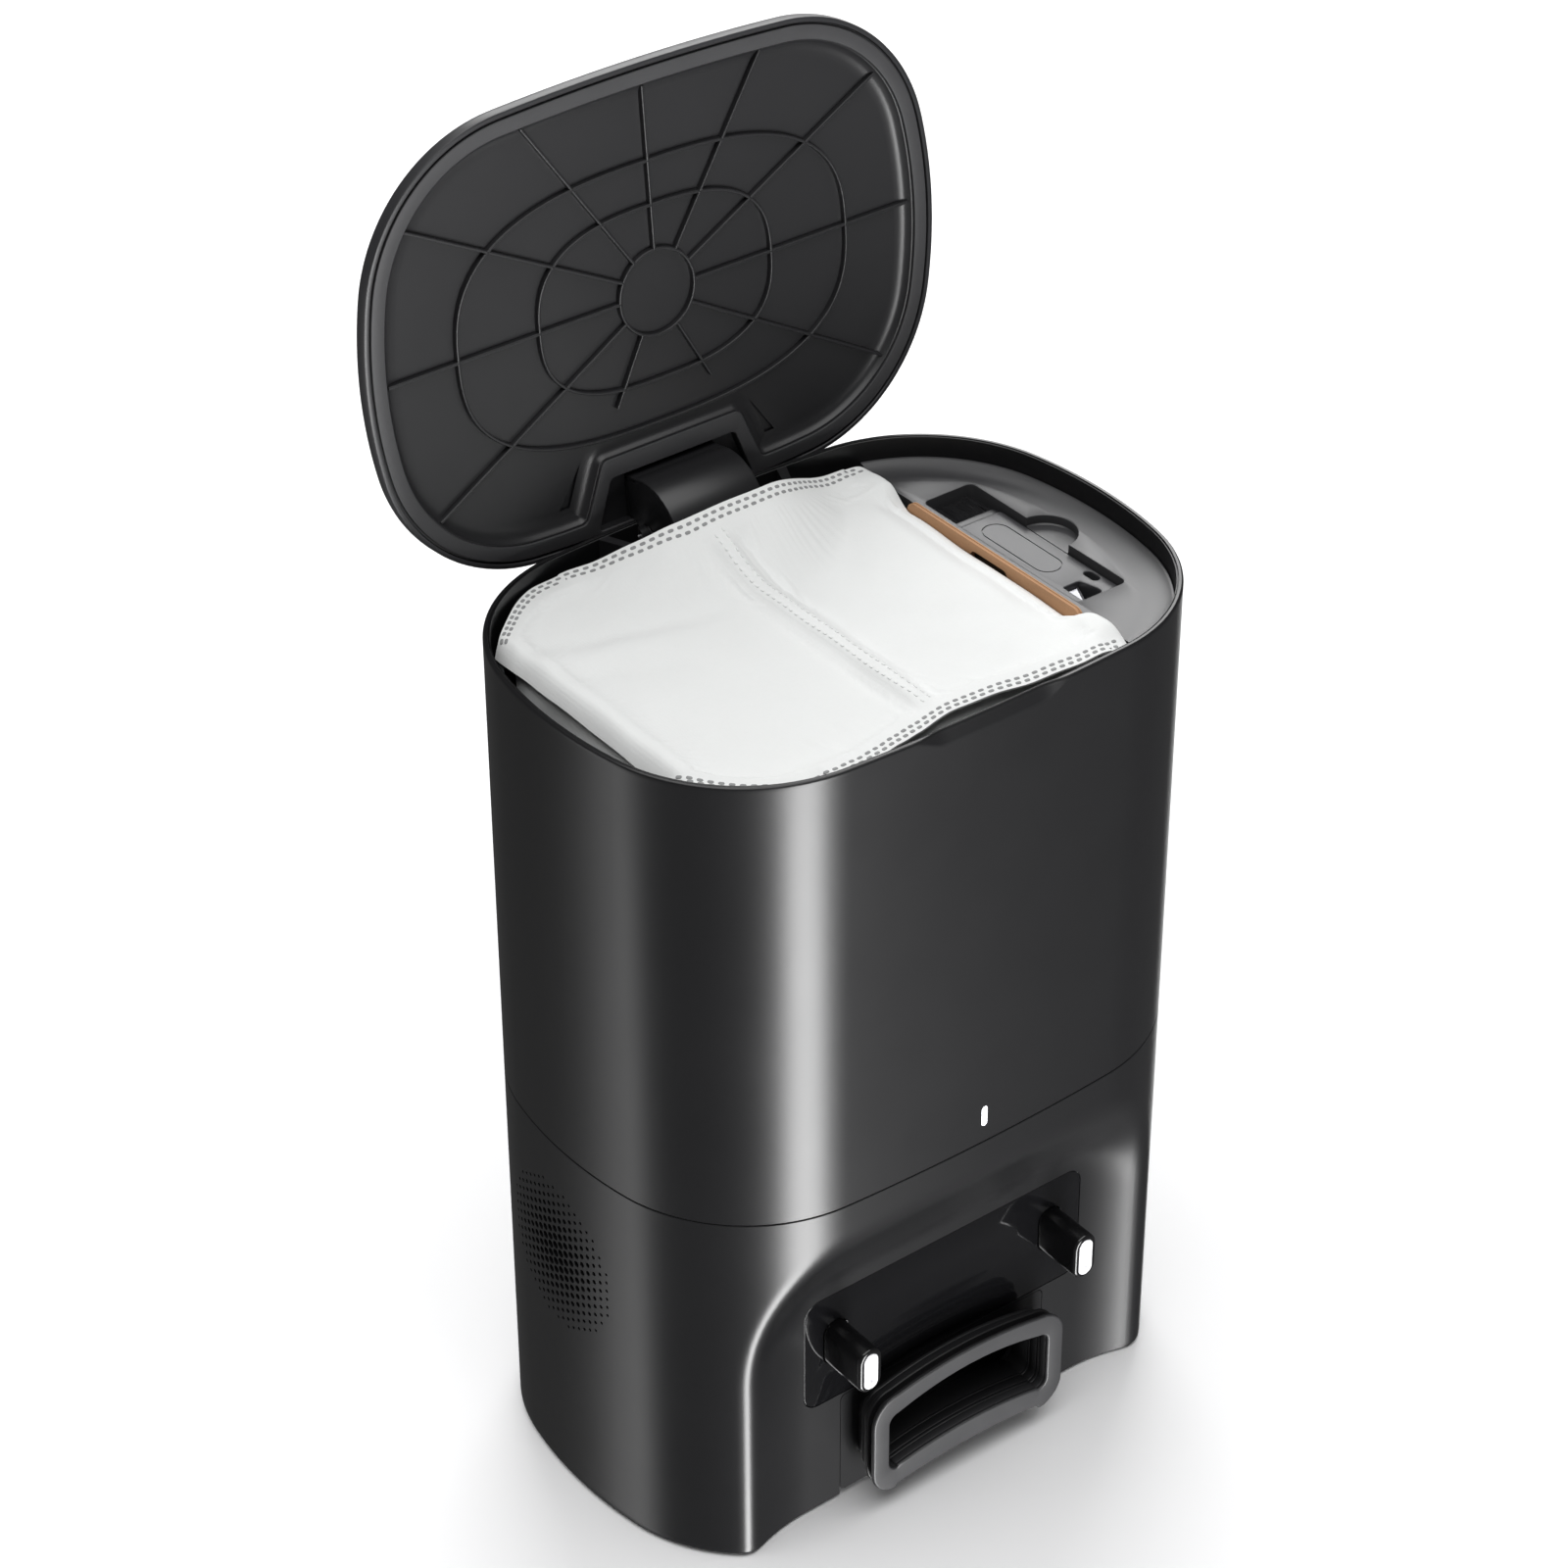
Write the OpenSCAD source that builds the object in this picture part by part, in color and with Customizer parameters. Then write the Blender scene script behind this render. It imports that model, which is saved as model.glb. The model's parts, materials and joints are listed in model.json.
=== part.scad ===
// Self-emptying station for a robot vacuum: a tall oval body with a bag chamber under
// a hinged lid, a docking recess with two sprung charging contacts and a suction port.
// Origin: middle of the footprint on the floor. +Z up, the docking side faces -Y.

/* [Body] */
// Width of the body, side to side
body_w = 290; // [260:1:348]
// Depth of the body, front to back
body_d = 205; // [190:1:246]
// Height of the rim above the floor
body_h = 410; // [340:1:492]
// Height of the joint line between base and upper casing
base_h = 190; // [185:1:220]
// Radius of the plan's four corners
corner_r = 76; // [60:1:85]
// Radius of the slightly bowed sides
side_r = 202; // [180:1:400]
// Radius of the slightly bowed front and back
face_r = 1120; // [800:10:2000]
// Wall of the casings
wall = 3; // [2.4:0.1:4]
// Gap between fixed pieces that fit together
fit = 0.3; // [0.2:0.05:0.6]
// Height of the rubber feet below the base
foot_h = 1.5; // [1:0.5:4]
// Radius of the rubber feet
foot_r = 9; // [6:0.5:12]

/* [Docking recess] */
// Depth of the recess panel behind the front face
recess_depth = 23.7; // [18:0.1:30]
// Half-width of the flat recess panel
recess_hw = 90; // [80:1:100]
// Height of the top of the flat recess panel
recess_top = 131; // [125:1:150]
// Corner radius of the flat recess panel
recess_r = 25; // [10:1:40]
// How far the flanks spread between panel and front face
recess_spread = 78; // [40:1:90]
// How far the top slope rises between panel and front face
recess_rise = 40; // [20:1:44]

/* [Charging contacts] */
// Distance between the two contact arms
contact_pitch = 121.4; // [100:0.2:130]
// Height of the middle of the contact arms
contact_z = 94; // [85:0.5:100]
// Width of a contact arm
arm_w = 12.6; // [10:0.2:16]
// Height of a contact arm
arm_h = 23.6; // [18:0.2:28]
// Length of a contact arm in front of the panel
arm_reach = 24.6; // [15:0.2:30]
// Travel of a contact arm
arm_travel = 4; // [2:0.5:6]
// Gap round a contact arm in its guide
arm_gap = 0.35; // [0.3:0.05:0.6]
// Width of the gloss panel behind the arms
gloss_w = 156; // [150:1:170]
// Height of the gloss panel
gloss_h = 60; // [50:1:62]

/* [Suction port] */
// Width of the port's rubber lip
port_w = 108.6; // [90:0.2:120]
// Height of the lip's lower corners above the floor
port_z0 = 10; // [8:0.5:20]
// Height of the lip, corner to corner
port_h = 54.5; // [45:0.5:60]
// How far the lip's top and bottom edges bow up in the middle
port_bow = 5; // [2:0.5:7]
// Border of the lip at its sides and top
port_border = 9; // [6:0.5:11]
// Distance of the lip's face in front of the recess panel
port_reach = 19.5; // [14:0.5:24]

/* [Lid] */
// Height of the closed lid above the rim
lid_h = 9; // [7:0.5:14]
// Angle of the open lid
lid_open = 95; // [60:1:110]
// Height of the hinge line below the rim
hinge_drop = 8.5; // [7:0.5:12]
// Distance of the hinge line inside the back face
hinge_inset = 1.9; // [1.5:0.1:4]
// Radius of the hinge pin
pin_r = 2; // [1.5:0.1:3]
// Running clearance round the hinge pin
pin_gap = 0.05; // [0.02:0.01:0.1]
// Radius of the curved hinge arm
arm_shell_r = 24.5; // [20:0.5:26]
// Width of the curved hinge arm
hinge_arm_w = 46; // [36:1:52]
// Height of the ribs inside the lid
rib_h = 2.5; // [1.5:0.1:4]
// Thickness of the ribs inside the lid
rib_t = 1.4; // [1:0.1:2]
// Radius of the round hub rib
hub_r = 19; // [14:1:24]

/* [Bag and collar] */
// Left end of the filled bag, from the middle
bag_left = 124; // [110:1:128]
// Right face of the collar's bag side, from the middle
collar_x = 84; // [80:1:88]
// Thickness of the collar board
collar_t = 2.4; // [1.6:0.2:4]
// Width of the collar board
collar_w = 114; // [100:1:120]
// Height of the collar board
collar_h = 112; // [100:1:140]
// Radius of the hole in the collar
collar_bore = 25; // [20:1:28]
// Height of the bag's top below the rim
bag_drop = 12; // [11:1:20]
// How far the bag lifts out
bag_lift = 250; // [100:10:400]

/* [Tool deck] */
// Depth of the deck below the rim
deck_drop = 13; // [10:1:20]
// Thickness of the deck
deck_t = 2.5; // [2:0.5:4]
// Length of the cleaning tool
tool_l = 100; // [80:1:110]
// Width of the cleaning tool
tool_w = 25; // [20:1:27]
// Thickness of the cleaning tool's handle
tool_t = 8; // [5:0.5:10]
// Gap round the tool in its recess
tool_gap = 0.8; // [0.5:0.1:1.5]
// Middle of the tool, from the middle of the body
tool_x = 104; // [100:1:108]

/* [Fan and filters] */
// Radius of the motor housing
housing_r = 52; // [44:1:54]
// Radius of the impeller
impeller_r = 44; // [36:1:46]
// Number of impeller blades
blade_count = 9; // [5:1:13]
// Radius of the motor shaft
shaft_r = 4; // [3:0.5:5]
// Radius of the perforated exhaust field in the left wall
vent_r = 39; // [30:1:42]
// Spacing of the exhaust holes
vent_pitch = 9.2; // [8:0.2:14]

/* [Hidden] */

$fn = 48;
eps = 0.01;
half_w = body_w / 2;
half_d = body_d / 2;
side_c = [half_w - side_r, 0];
face_c = [0, half_d - face_r];

// Corner arc centre: on a circle about each of the two larger arcs' centres
function meet(c1, r1, c2, r2) =
    let (d = norm(c2 - c1), u = (r1 * r1 - r2 * r2 + d * d) / (2 * d),
        h = sqrt(r1 * r1 - u * u), e = (c2 - c1) / d)
    c1 + u * e + h * [-e[1], e[0]];
corner_c = meet(side_c, side_r - corner_r, face_c, face_r - corner_r);
side_a = atan2(corner_c[1] - side_c[1], corner_c[0] - side_c[0]);
face_a = atan2(corner_c[1] - face_c[1], corner_c[0] - face_c[0]);

function arc(c, r, a0, a1, n) =
    [for (i = [0:n]) c + r * [cos(a0 + (a1 - a0) * i / n), sin(a0 + (a1 - a0) * i / n)]];
function drop_last(p) = [for (i = [0:len(p) - 2]) p[i]];
function oval_quarter(t) = concat(
    drop_last(arc(side_c, side_r - t, 0, side_a, 3)),
    drop_last(arc(corner_c, corner_r - t, side_a, face_a, 14)),
    arc(face_c, face_r - t, face_a, 90, 3));
function flip(p, sx, sy) = [for (q = p) [sx * q[0], sy * q[1]]];
function reverse(p) = [for (i = [len(p) - 1:-1:0]) p[i]];
// The body's plan, moved inwards by t
function oval(t) =
    let (q = oval_quarter(t), h = drop_last(q), k = drop_last(reverse(q)))
    concat(h, flip(k, -1, 1), flip(h, -1, -1), flip(k, 1, -1));

// Rectangle with round corners, from its low corner to its high corner
function rrect(x0, y0, x1, y1, r) = concat(
    arc([x1 - r, y0 + r], r, -90, 0, 6), arc([x1 - r, y1 - r], r, 0, 90, 6),
    arc([x0 + r, y1 - r], r, 90, 180, 6), arc([x0 + r, y0 + r], r, 180, 270, 6));

module oval_solid(t, z0, z1) {
    translate([0, 0, z0]) linear_extrude(z1 - z0) polygon(oval(t));
}
module block(x0, x1, y0, y1, z0, z1) {
    translate([x0, y0, z0]) cube([x1 - x0, y1 - y0, z1 - z0]);
}
// A plate drawn in X and Z, thickened from y0 to y1
module upright(y0, y1) {
    translate([0, y1, 0]) rotate([90, 0, 0]) linear_extrude(y1 - y0) children();
}
// A plate drawn in Y and Z, thickened from x0 to x1
module sideways(x0, x1) {
    translate([x0, 0, 0]) rotate([90, 0, 90]) linear_extrude(x1 - x0) children();
}
module tube(r0, r1, h) {
    difference() {
        cylinder(r = r1, h = h);
        translate([0, 0, -1]) cylinder(r = r0, h = h + 2);
    }
}

// ---- Docking recess -------------------------------------------------------------
panel_y = -half_d + recess_depth;
mouth_extra = 1.5;
function arch(hw, top, r) = concat(
    [[-hw, -5], [hw, -5]],
    arc([hw - r, top - r], r, 0, 90, 10), arc([-hw + r, top - r], r, 90, 180, 10));
// The space in front of the recess panel; grow moves its surfaces back and outwards
module recess_space(grow) {
    run = (recess_depth + mouth_extra) / recess_depth;
    hull() {
        upright(panel_y + grow - eps, panel_y + grow)
            polygon(arch(recess_hw + grow * 0.75, recess_top + grow * 0.75, recess_r));
        upright(-half_d - mouth_extra, -half_d - mouth_extra + eps)
            polygon(arch(recess_hw + recess_spread * run + grow * 0.75,
                recess_top + recess_rise * run + grow * 0.75, recess_r + recess_spread));
    }
}

// ---- Suction port ---------------------------------------------------------------
lip_front = panel_y - port_reach;
lip_t = 2.2;
lip_groove = 3.6;
horn_flange_t = 2;
horn_front = lip_front + lip_t + lip_groove;
port_r = 14;
port_z1 = port_z0 + port_h;
function bowed(hw, sag, n, z) =
    [for (i = [0:n]) let (x = hw * (1 - 2 * i / n)) [x, z + sag * (1 - x * x / (hw * hw))]];
// Port outline: a round-cornered rectangle whose top and bottom edges bow up.
// in moves the whole outline inwards, low lifts its bottom and drop lowers its top
function port_outline(in, low = 0, drop = 0) =
    let (hw = port_w / 2 - in, r = max(port_r - in, 3), z0 = port_z0 + in + low,
        z1 = port_z1 - in - drop, k = hw - r)
    concat(bowed(k, port_bow, 10, z1), arc([-k, z1 - r], r, 96, 180, 5),
        arc([-k, z0 + r], r, 180, 264, 5), reverse(bowed(k, port_bow, 10, z0)),
        arc([k, z0 + r], r, 276, 360, 5), arc([k, z1 - r], r, 0, 84, 5));
lip_low = 3;
horn_in = 4;
horn_step = horn_front + 8.5;
neck_in = 7;
neck_drop = 5;
cover_hw = 57.8;
cover_top = gloss_panel_z0() - 1.4;
cover_low = foot_h + 2;

function gloss_panel_z0() = contact_z - 2.5 - gloss_h / 2;
gloss_z0 = gloss_panel_z0();
gloss_z1 = gloss_z0 + gloss_h;
gloss_t = 1.5;

module gloss_outline(in) {
    polygon(rrect(-gloss_w / 2 + in, gloss_z0 + in, gloss_w / 2 - in, gloss_z1 - in, 8));
}
function stadium(w, h) = rrect(-w / 2, -h / 2, w / 2, h / 2, w / 2 - eps);
module arm_section(grow) {
    polygon(stadium(arm_w + 2 * grow, arm_h + 2 * grow));
}
module at_contact(side) {
    translate([side * contact_pitch / 2, 0, contact_z]) children();
}

// ---- Base -----------------------------------------------------------------------
spigot_h = 6;
spigot_t = 2;
vent_y = 10;
vent_z = 128;
vent_big = 2.2;
vent_small = 0.9;
inlet_x = 66;
inlet_z = 30;
inlet_w = 26;
inlet_h = 16;
plate_t = 3;
boss_r = 5;
boss_at = [[-112, 52], [112, 52], [-122, -26], [30, 88], [-60, 84]];
screw_r = 1.6;

module vent_holes() {
    rows = ceil(vent_r / (vent_pitch * sin(60)));
    for (j = [-rows:rows], i = [-rows:rows]) {
        y = (i + (j % 2 == 0 ? 0 : 0.5)) * vent_pitch;
        z = j * vent_pitch * sin(60);
        d = norm([y, z]);
        if (d < vent_r)
            translate([-half_w - 5, vent_y + y, vent_z + z]) rotate([0, 90, 0])
                cylinder(r = vent_big - (vent_big - vent_small) * d / vent_r, h = 20, $fn = 16);
    }
}

module base_shell() {
    color("#1d1d20") {
        difference() {
            oval_solid(0, foot_h, base_h);
            recess_space(0);
            difference() {
                oval_solid(wall, -1, base_h + 1);
                recess_space(wall);
            }
            upright(panel_y - 1, panel_y + gloss_t) gloss_outline(-fit / 2);
            upright(panel_y - 1, panel_y + wall + 3) polygon(rrect(-cover_hw - fit / 2,
                cover_low - fit - 10, cover_hw + fit / 2, cover_top + fit / 2, 3));
            for (side = [-1, 1])
                at_contact(side) upright(panel_y - 1, panel_y + wall + 3) arm_section(1);
            vent_holes();
            translate([inlet_x, half_d + 3, inlet_z]) rotate([90, 0, 0])
                linear_extrude(12) polygon(rrect(-inlet_w / 2 - fit, -inlet_h / 2 - fit,
                    inlet_w / 2 + fit, inlet_h / 2 + fit, 4));
        }
        difference() {
            oval_solid(wall + fit, base_h - spigot_h, base_h + spigot_h);
            oval_solid(wall + fit + spigot_t, base_h - spigot_h - 1, base_h + spigot_h + 1);
        }
        difference() {
            oval_solid(wall - 0.5, base_h - spigot_h - 3, base_h - spigot_h);
            oval_solid(wall + fit + spigot_t, base_h - spigot_h - 4, base_h - spigot_h + 1);
        }
        for (p = boss_at) {
            difference() {
                intersection() {
                    translate([p[0], p[1], foot_h + plate_t]) cylinder(r = boss_r, h = 30);
                    oval_solid(wall - 0.5, 0, base_h);
                }
                translate([p[0], p[1], 0]) cylinder(r = screw_r, h = 26);
            }
        }
    }
}

foot_at = [[-100, 58], [100, 58], [-122, -40], [122, -40], [0, 0]];
module base_plate() {
    color("#18181a") difference() {
        oval_solid(wall + fit, foot_h, foot_h + plate_t);
        recess_space(wall + fit);
        for (p = foot_at) translate([p[0], p[1], foot_h - 1]) cylinder(r = foot_r + fit, h = 2.5);
        for (p = boss_at) {
            translate([p[0], p[1], foot_h - 1]) cylinder(r = screw_r + fit, h = plate_t + 2);
            translate([p[0], p[1], foot_h - 1]) cylinder(r = screw_r * 2 + fit, h = 2.4);
        }
    }
}
module rubber_feet() {
    color("#2b2b2b") for (p = foot_at)
        translate([p[0], p[1], 0]) cylinder(r = foot_r, h = foot_h + 1.5 - eps);
}
module base_screws() {
    color("#9a9a9e") for (p = boss_at) translate([p[0], p[1], foot_h]) difference() {
        union() {
            cylinder(r = screw_r * 2, h = 1.2);
            cylinder(r = screw_r - 0.02, h = 20);
        }
        translate([0, 0, -1]) cylinder(r = screw_r * 0.8, h = 1.8, $fn = 6);
    }
}

module gloss_panel() {
    color("#060607") difference() {
        upright(panel_y, panel_y + gloss_t - fit / 2) gloss_outline(fit / 2);
        for (side = [-1, 1])
            at_contact(side) upright(panel_y - 1, panel_y + wall) arm_section(arm_gap);
    }
}

// ---- Charging contacts ----------------------------------------------------------
arm_y0 = panel_y - arm_reach;
arm_back = panel_y + wall + 12;
stop_t = 2.5;
guide_y0 = panel_y + wall + 0.2;
guide_y1 = arm_back + arm_travel + 12;
module contact_guide() {
    color("#26262a") difference() {
        union() {
            for (side = [-1, 1]) at_contact(side)
                upright(guide_y0, guide_y1) polygon(stadium(arm_w + 12, arm_h + 12));
            block(-contact_pitch / 2, contact_pitch / 2, guide_y1 - 2.4, guide_y1,
                contact_z - 6, contact_z + 6);
        }
        for (side = [-1, 1]) at_contact(side) {
            upright(guide_y0 - 1, guide_y1 - 3) arm_section(arm_gap);
            upright(arm_back - stop_t - 0.2, guide_y1 - 3) arm_section(arm_gap + 2);
        }
    }
}
module contact_arm(side) {
    color("#08080a") at_contact(side) difference() {
        union() {
            upright(arm_y0 + 1, arm_back) arm_section(0);
            upright(arm_y0, arm_y0 + 1) arm_section(-0.6);
            upright(arm_back - stop_t, arm_back) arm_section(1.8);
        }
        upright(arm_y0 - 1, arm_y0 + 1.2) polygon(stadium(plate_w + 0.2, plate_h + 0.2));
        translate([0, arm_back - 8, 0]) rotate([-90, 0, 0]) cylinder(r = 4.6, h = 10);
    }
}
plate_w = 7.5;
plate_h = 19.4;
module contact_plate(side) {
    color("#d9d9de") at_contact(side) difference() {
        upright(arm_y0 - 0.5, arm_y0 + 1.1) polygon(stadium(plate_w, plate_h));
        upright(arm_y0 - 1, arm_y0 + 0.1) polygon(stadium(2.2, plate_h - 5));
    }
}
spring_wire = 0.5;
spring_r = 3.9;
spring_turns = 7;
spring_y0 = arm_back - 8 + 0.2;
spring_y1 = guide_y1 - 3.2;
// A round wire wound about +Z: one ring of points for each step of the helix
module coil(r, wire, turns, length) {
    steps = turns * 14;
    sides = 8;
    function ring(i) = let (a = 360 * turns * i / steps, z = wire + (length - 2 * wire) * i / steps)
        [for (k = [0:sides - 1]) let (b = 360 * k / sides, q = r + wire * cos(b))
            [q * cos(a), q * sin(a), z + wire * sin(b)]];
    points = [for (i = [0:steps]) each ring(i)];
    skin = [for (i = [0:steps - 1], k = [0:sides - 1]) let (n = (k + 1) % sides)
        [i * sides + k, i * sides + n, (i + 1) * sides + n, (i + 1) * sides + k]];
    ends = [[for (k = [sides - 1:-1:0]) k], [for (k = [0:sides - 1]) steps * sides + k]];
    polyhedron(points, concat([for (f = skin) reverse(f)], [for (f = ends) reverse(f)]));
}
module contact_spring(side) {
    color("#b8b8bc") at_contact(side) translate([0, spring_y0, 0]) rotate([-90, 0, 0])
        coil(spring_r, spring_wire, spring_turns, spring_y1 - spring_y0);
}

// ---- Port pieces ----------------------------------------------------------------
module port_cover() {
    color("#1d1d20") difference() {
        upright(panel_y, panel_y + wall) polygon(rrect(-cover_hw + fit / 2, cover_low,
            cover_hw - fit / 2, cover_top - fit / 2, 3));
        upright(panel_y - 1, panel_y + wall + 1)
            polygon(port_outline(neck_in - fit, 0, neck_drop));
    }
}
module port_horn() {
    color("#19191c") difference() {
        union() {
            upright(horn_front, horn_step) polygon(port_outline(horn_in));
            upright(horn_front, horn_front + horn_flange_t) polygon(port_outline(1));
            upright(horn_step - 2, panel_y + wall + 2)
                polygon(port_outline(neck_in, 0, neck_drop));
            upright(panel_y + wall + 0.1, panel_y + wall + 2)
                polygon(port_outline(neck_in - 2.5, 0, neck_drop));
        }
        upright(horn_front - 1, horn_step - 2) polygon(port_outline(port_border, lip_low));
        upright(horn_front - 1, panel_y + wall + 3)
            polygon(port_outline(port_border, lip_low, neck_drop));
    }
}
module port_lip() {
    color("#333338") difference() {
        union() {
            upright(lip_front, lip_front + lip_t) polygon(port_outline(0));
            upright(lip_front, horn_front - 0.05) polygon(port_outline(horn_in));
        }
        upright(lip_front - 1, horn_front + 1) polygon(port_outline(port_border, lip_low));
    }
}

// ---- Air path -------------------------------------------------------------------
duct_wall = 2.4;
duct_front = panel_y + wall + 2.2;
duct_z0 = port_z0 + 2;
duct_z1 = port_z1 + port_bow + 4;
duct_back = duct_front + 44;
riser_x0 = collar_x + 8;
riser_x1 = half_w - 11;
riser_hd = 28;
riser_turn_y = -46;
module duct_space(in) {
    block(-port_w / 2 - 1 + in, riser_x1 - 22, duct_front + in, duct_back - in,
        duct_z0 + in, duct_z1 - in);
    block(riser_x0 + in, riser_x1 - in, riser_turn_y + in, riser_hd - in, duct_z0 + in, duct_z1 - in);
}
module suction_duct() {
    color("#2a2a2e") difference() {
        union() {
            intersection() {
                duct_space(0);
                oval_solid(wall + 1.5, 0, base_h);
            }
            block(riser_x0, riser_x1, -riser_hd, riser_hd, duct_z0, base_h - 2);
        }
        difference() {
            duct_space(duct_wall);
            difference() {
                block(riser_x1 - 70, half_w, -half_d, 0, 0, base_h);
                oval_solid(wall + 1.5 + duct_wall, -1, base_h + 1);
            }
        }
        block(riser_x0 + duct_wall, riser_x1 - duct_wall, -riser_hd + duct_wall,
            riser_hd - duct_wall, duct_z0 + duct_wall, base_h);
        upright(duct_front - 1, duct_front + duct_wall + 1)
            polygon(port_outline(port_border, lip_low, neck_drop));
    }
}
seal_h = 3.6;
module riser_ring(grow, in, z0, z1) {
    difference() {
        block(riser_x0 - grow, riser_x1 + grow, -riser_hd - grow, riser_hd + grow, z0, z1);
        block(riser_x0 + in, riser_x1 - in, -riser_hd + in, riser_hd - in, z0 - 1, z1 + 1);
    }
}
module duct_seal() {
    color("#3a3a3e") riser_ring(1, duct_wall, base_h - 1.9, base_h - 1.9 + seal_h);
}
collar_top = body_h - 11;
collar_z = collar_top - 50;
collar_y = 1;
elbow_x = riser_x0 - 2;
elbow_z = collar_z - (riser_x0 + riser_x1) / 2 + elbow_x;
riser_z0 = base_h - 1.9 + seal_h + 0.1;
module riser_duct() {
    color("#2a2a2e") riser_ring(0, duct_wall, riser_z0, elbow_z - 0.1);
}
module elbow_sweep(in) {
    translate([elbow_x, 0, elbow_z]) rotate([90, 0, 0]) rotate_extrude(angle = 90, $fn = 64)
        polygon([[riser_x0 - elbow_x + in, -riser_hd + in], [riser_x1 - elbow_x - in, -riser_hd + in],
            [riser_x1 - elbow_x - in, riser_hd - in], [riser_x0 - elbow_x + in, riser_hd - in]]);
}
module riser_elbow() {
    color("#2a2a2e") difference() {
        elbow_sweep(0);
        elbow_sweep(duct_wall);
    }
}

// ---- Fan ------------------------------------------------------------------------
motor_at = [-30, 30];
housing_z0 = 52;
fan_top = base_h - 22;
impeller_z0 = fan_top - 30;
impeller_h = 20;
can_r = housing_r - 16;
can_z0 = housing_z0 + 14;
can_z1 = impeller_z0 - 12;
bearing_h = 7;
bearing_r = 11;
eye_r = 20;
module at_motor(z) { translate([motor_at[0], motor_at[1], z]) children(); }
module motor_housing() {
    color("#2f2f33") difference() {
        at_motor(housing_z0) cylinder(r = housing_r, h = fan_top - housing_z0);
        at_motor(housing_z0 + 2.6) cylinder(r = housing_r - 2.6, h = fan_top);
        block(motor_at[0] - housing_r - 5, motor_at[0], motor_at[1] - 24, motor_at[1] + 24,
            housing_z0 + 12, housing_z0 + 46);
    }
    color("#2f2f33") for (a = [45:90:315]) at_motor(foot_h + plate_t) rotate([0, 0, a])
        translate([housing_r - 12, 0, 0]) cylinder(r = 5, h = housing_z0 - foot_h - plate_t);
}
module motor_can() {
    color("#8d8f94") at_motor(0) difference() {
        union() {
            translate([0, 0, can_z0]) cylinder(r = can_r, h = can_z1 - can_z0);
            translate([0, 0, can_z1 - eps]) cylinder(r = bearing_r + 3, h = 4);
        }
        translate([0, 0, can_z0 + 3 + bearing_h]) cylinder(r = can_r - 3,
            h = can_z1 - can_z0 - 6 - 2 * bearing_h);
        translate([0, 0, can_z0 - 1]) cylinder(r = bearing_r, h = bearing_h + 6);
        translate([0, 0, can_z1 - bearing_h - 5]) cylinder(r = bearing_r, h = bearing_h + 20);
        for (a = [0:45:315]) rotate([0, 0, a]) translate([can_r - 10, 0, can_z0 - 1])
            cylinder(r = 4, h = can_z1);
    }
}
module motor_shaft() {
    color("#c9cacf") {
        at_motor(can_z0 - 2) cylinder(r = shaft_r, h = impeller_z0 + impeller_h + 3 - can_z0 + 2);
        at_motor(can_z0 + bearing_h + 5) difference() {
            cylinder(r = can_r - 6, h = can_z1 - can_z0 - 2 * bearing_h - 10);
            translate([0, 0, -1]) cylinder(r = shaft_r - eps, h = 100);
        }
    }
}
module bearing(z) {
    color("#b5b6ba") at_motor(z) tube(shaft_r + 0.05, bearing_r - 0.02, bearing_h);
}
module impeller() {
    color("#d8d8d2") at_motor(impeller_z0) difference() {
        union() {
            cylinder(r = impeller_r, h = 1.8);
            cylinder(r = shaft_r + 4, h = impeller_h);
            for (a = [0:360 / blade_count:359]) rotate([0, 0, a])
                translate([shaft_r + 2, 0, 1]) rotate([0, 0, 24])
                    cube([impeller_r - shaft_r - 7, 1.6, impeller_h - 3]);
        }
        translate([0, 0, -1]) cylinder(r = shaft_r + 0.02, h = impeller_h + 2);
    }
}
module motor_mounts() {
    color("#3a3a3e") for (a = [90:120:330]) at_motor(housing_z0 + 2.6 + 0.05) rotate([0, 0, a])
        translate([can_r - 8, 0, 0]) cylinder(r = 6, h = can_z0 - housing_z0 - 2.7);
}
module fan_diffuser() {
    color("#3f3f44") at_motor(can_z1 + 4.5) difference() {
        cylinder(r = housing_r - 2.6 - fit, h = 3);
        translate([0, 0, -1]) cylinder(r = shaft_r + 3, h = 5);
        for (a = [0:30:330]) rotate([0, 0, a]) translate([housing_r - 12, 0, -1])
            cylinder(r = 3.5, h = 5);
    }
}
module fan_cover() {
    color("#2f2f33") at_motor(fan_top + 0.1) difference() {
        cylinder(r = housing_r, h = 3);
        translate([0, 0, -1]) cylinder(r = eye_r, h = 5);
    }
}
chamber_z0 = base_h + 14;
module fan_seal() {
    color("#3a3a3e") at_motor(fan_top + 3.2) tube(eye_r + 2, eye_r + 8, chamber_z0 - fan_top - 3.4);
}

// ---- Filters and electrics ------------------------------------------------------
filter_x = -half_w + 13;
filter_hw = vent_r + 3;
module filter_frame() {
    color("#2f2f33") difference() {
        intersection() {
            block(-half_w, filter_x + 12, vent_y - filter_hw, vent_y + filter_hw,
                vent_z - filter_hw, vent_z + filter_hw);
            oval_solid(wall + 0.1, 0, base_h);
        }
        block(-half_w - 1, filter_x + 13, vent_y - filter_hw + 3, vent_y + filter_hw - 3,
            vent_z - filter_hw + 3, vent_z + filter_hw - 3);
    }
}
module exhaust_filter() {
    inner = filter_hw - 3.4;
    pleats = 14;
    pitch = 2 * inner / pleats;
    color("#e4e3dc") sideways(filter_x + 2, filter_x + 4)
        polygon(rrect(vent_y - inner, vent_z - inner, vent_y + inner, vent_z + inner, 1));
    color("#e4e3dc") for (i = [0:pleats - 1])
        block(filter_x + 3.9, filter_x + 10, vent_y - inner + (i + 0.3) * pitch,
            vent_y - inner + (i + 0.7) * pitch, vent_z - inner, vent_z + inner);
}
board_x0 = 34;
board_y = 74;
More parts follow.
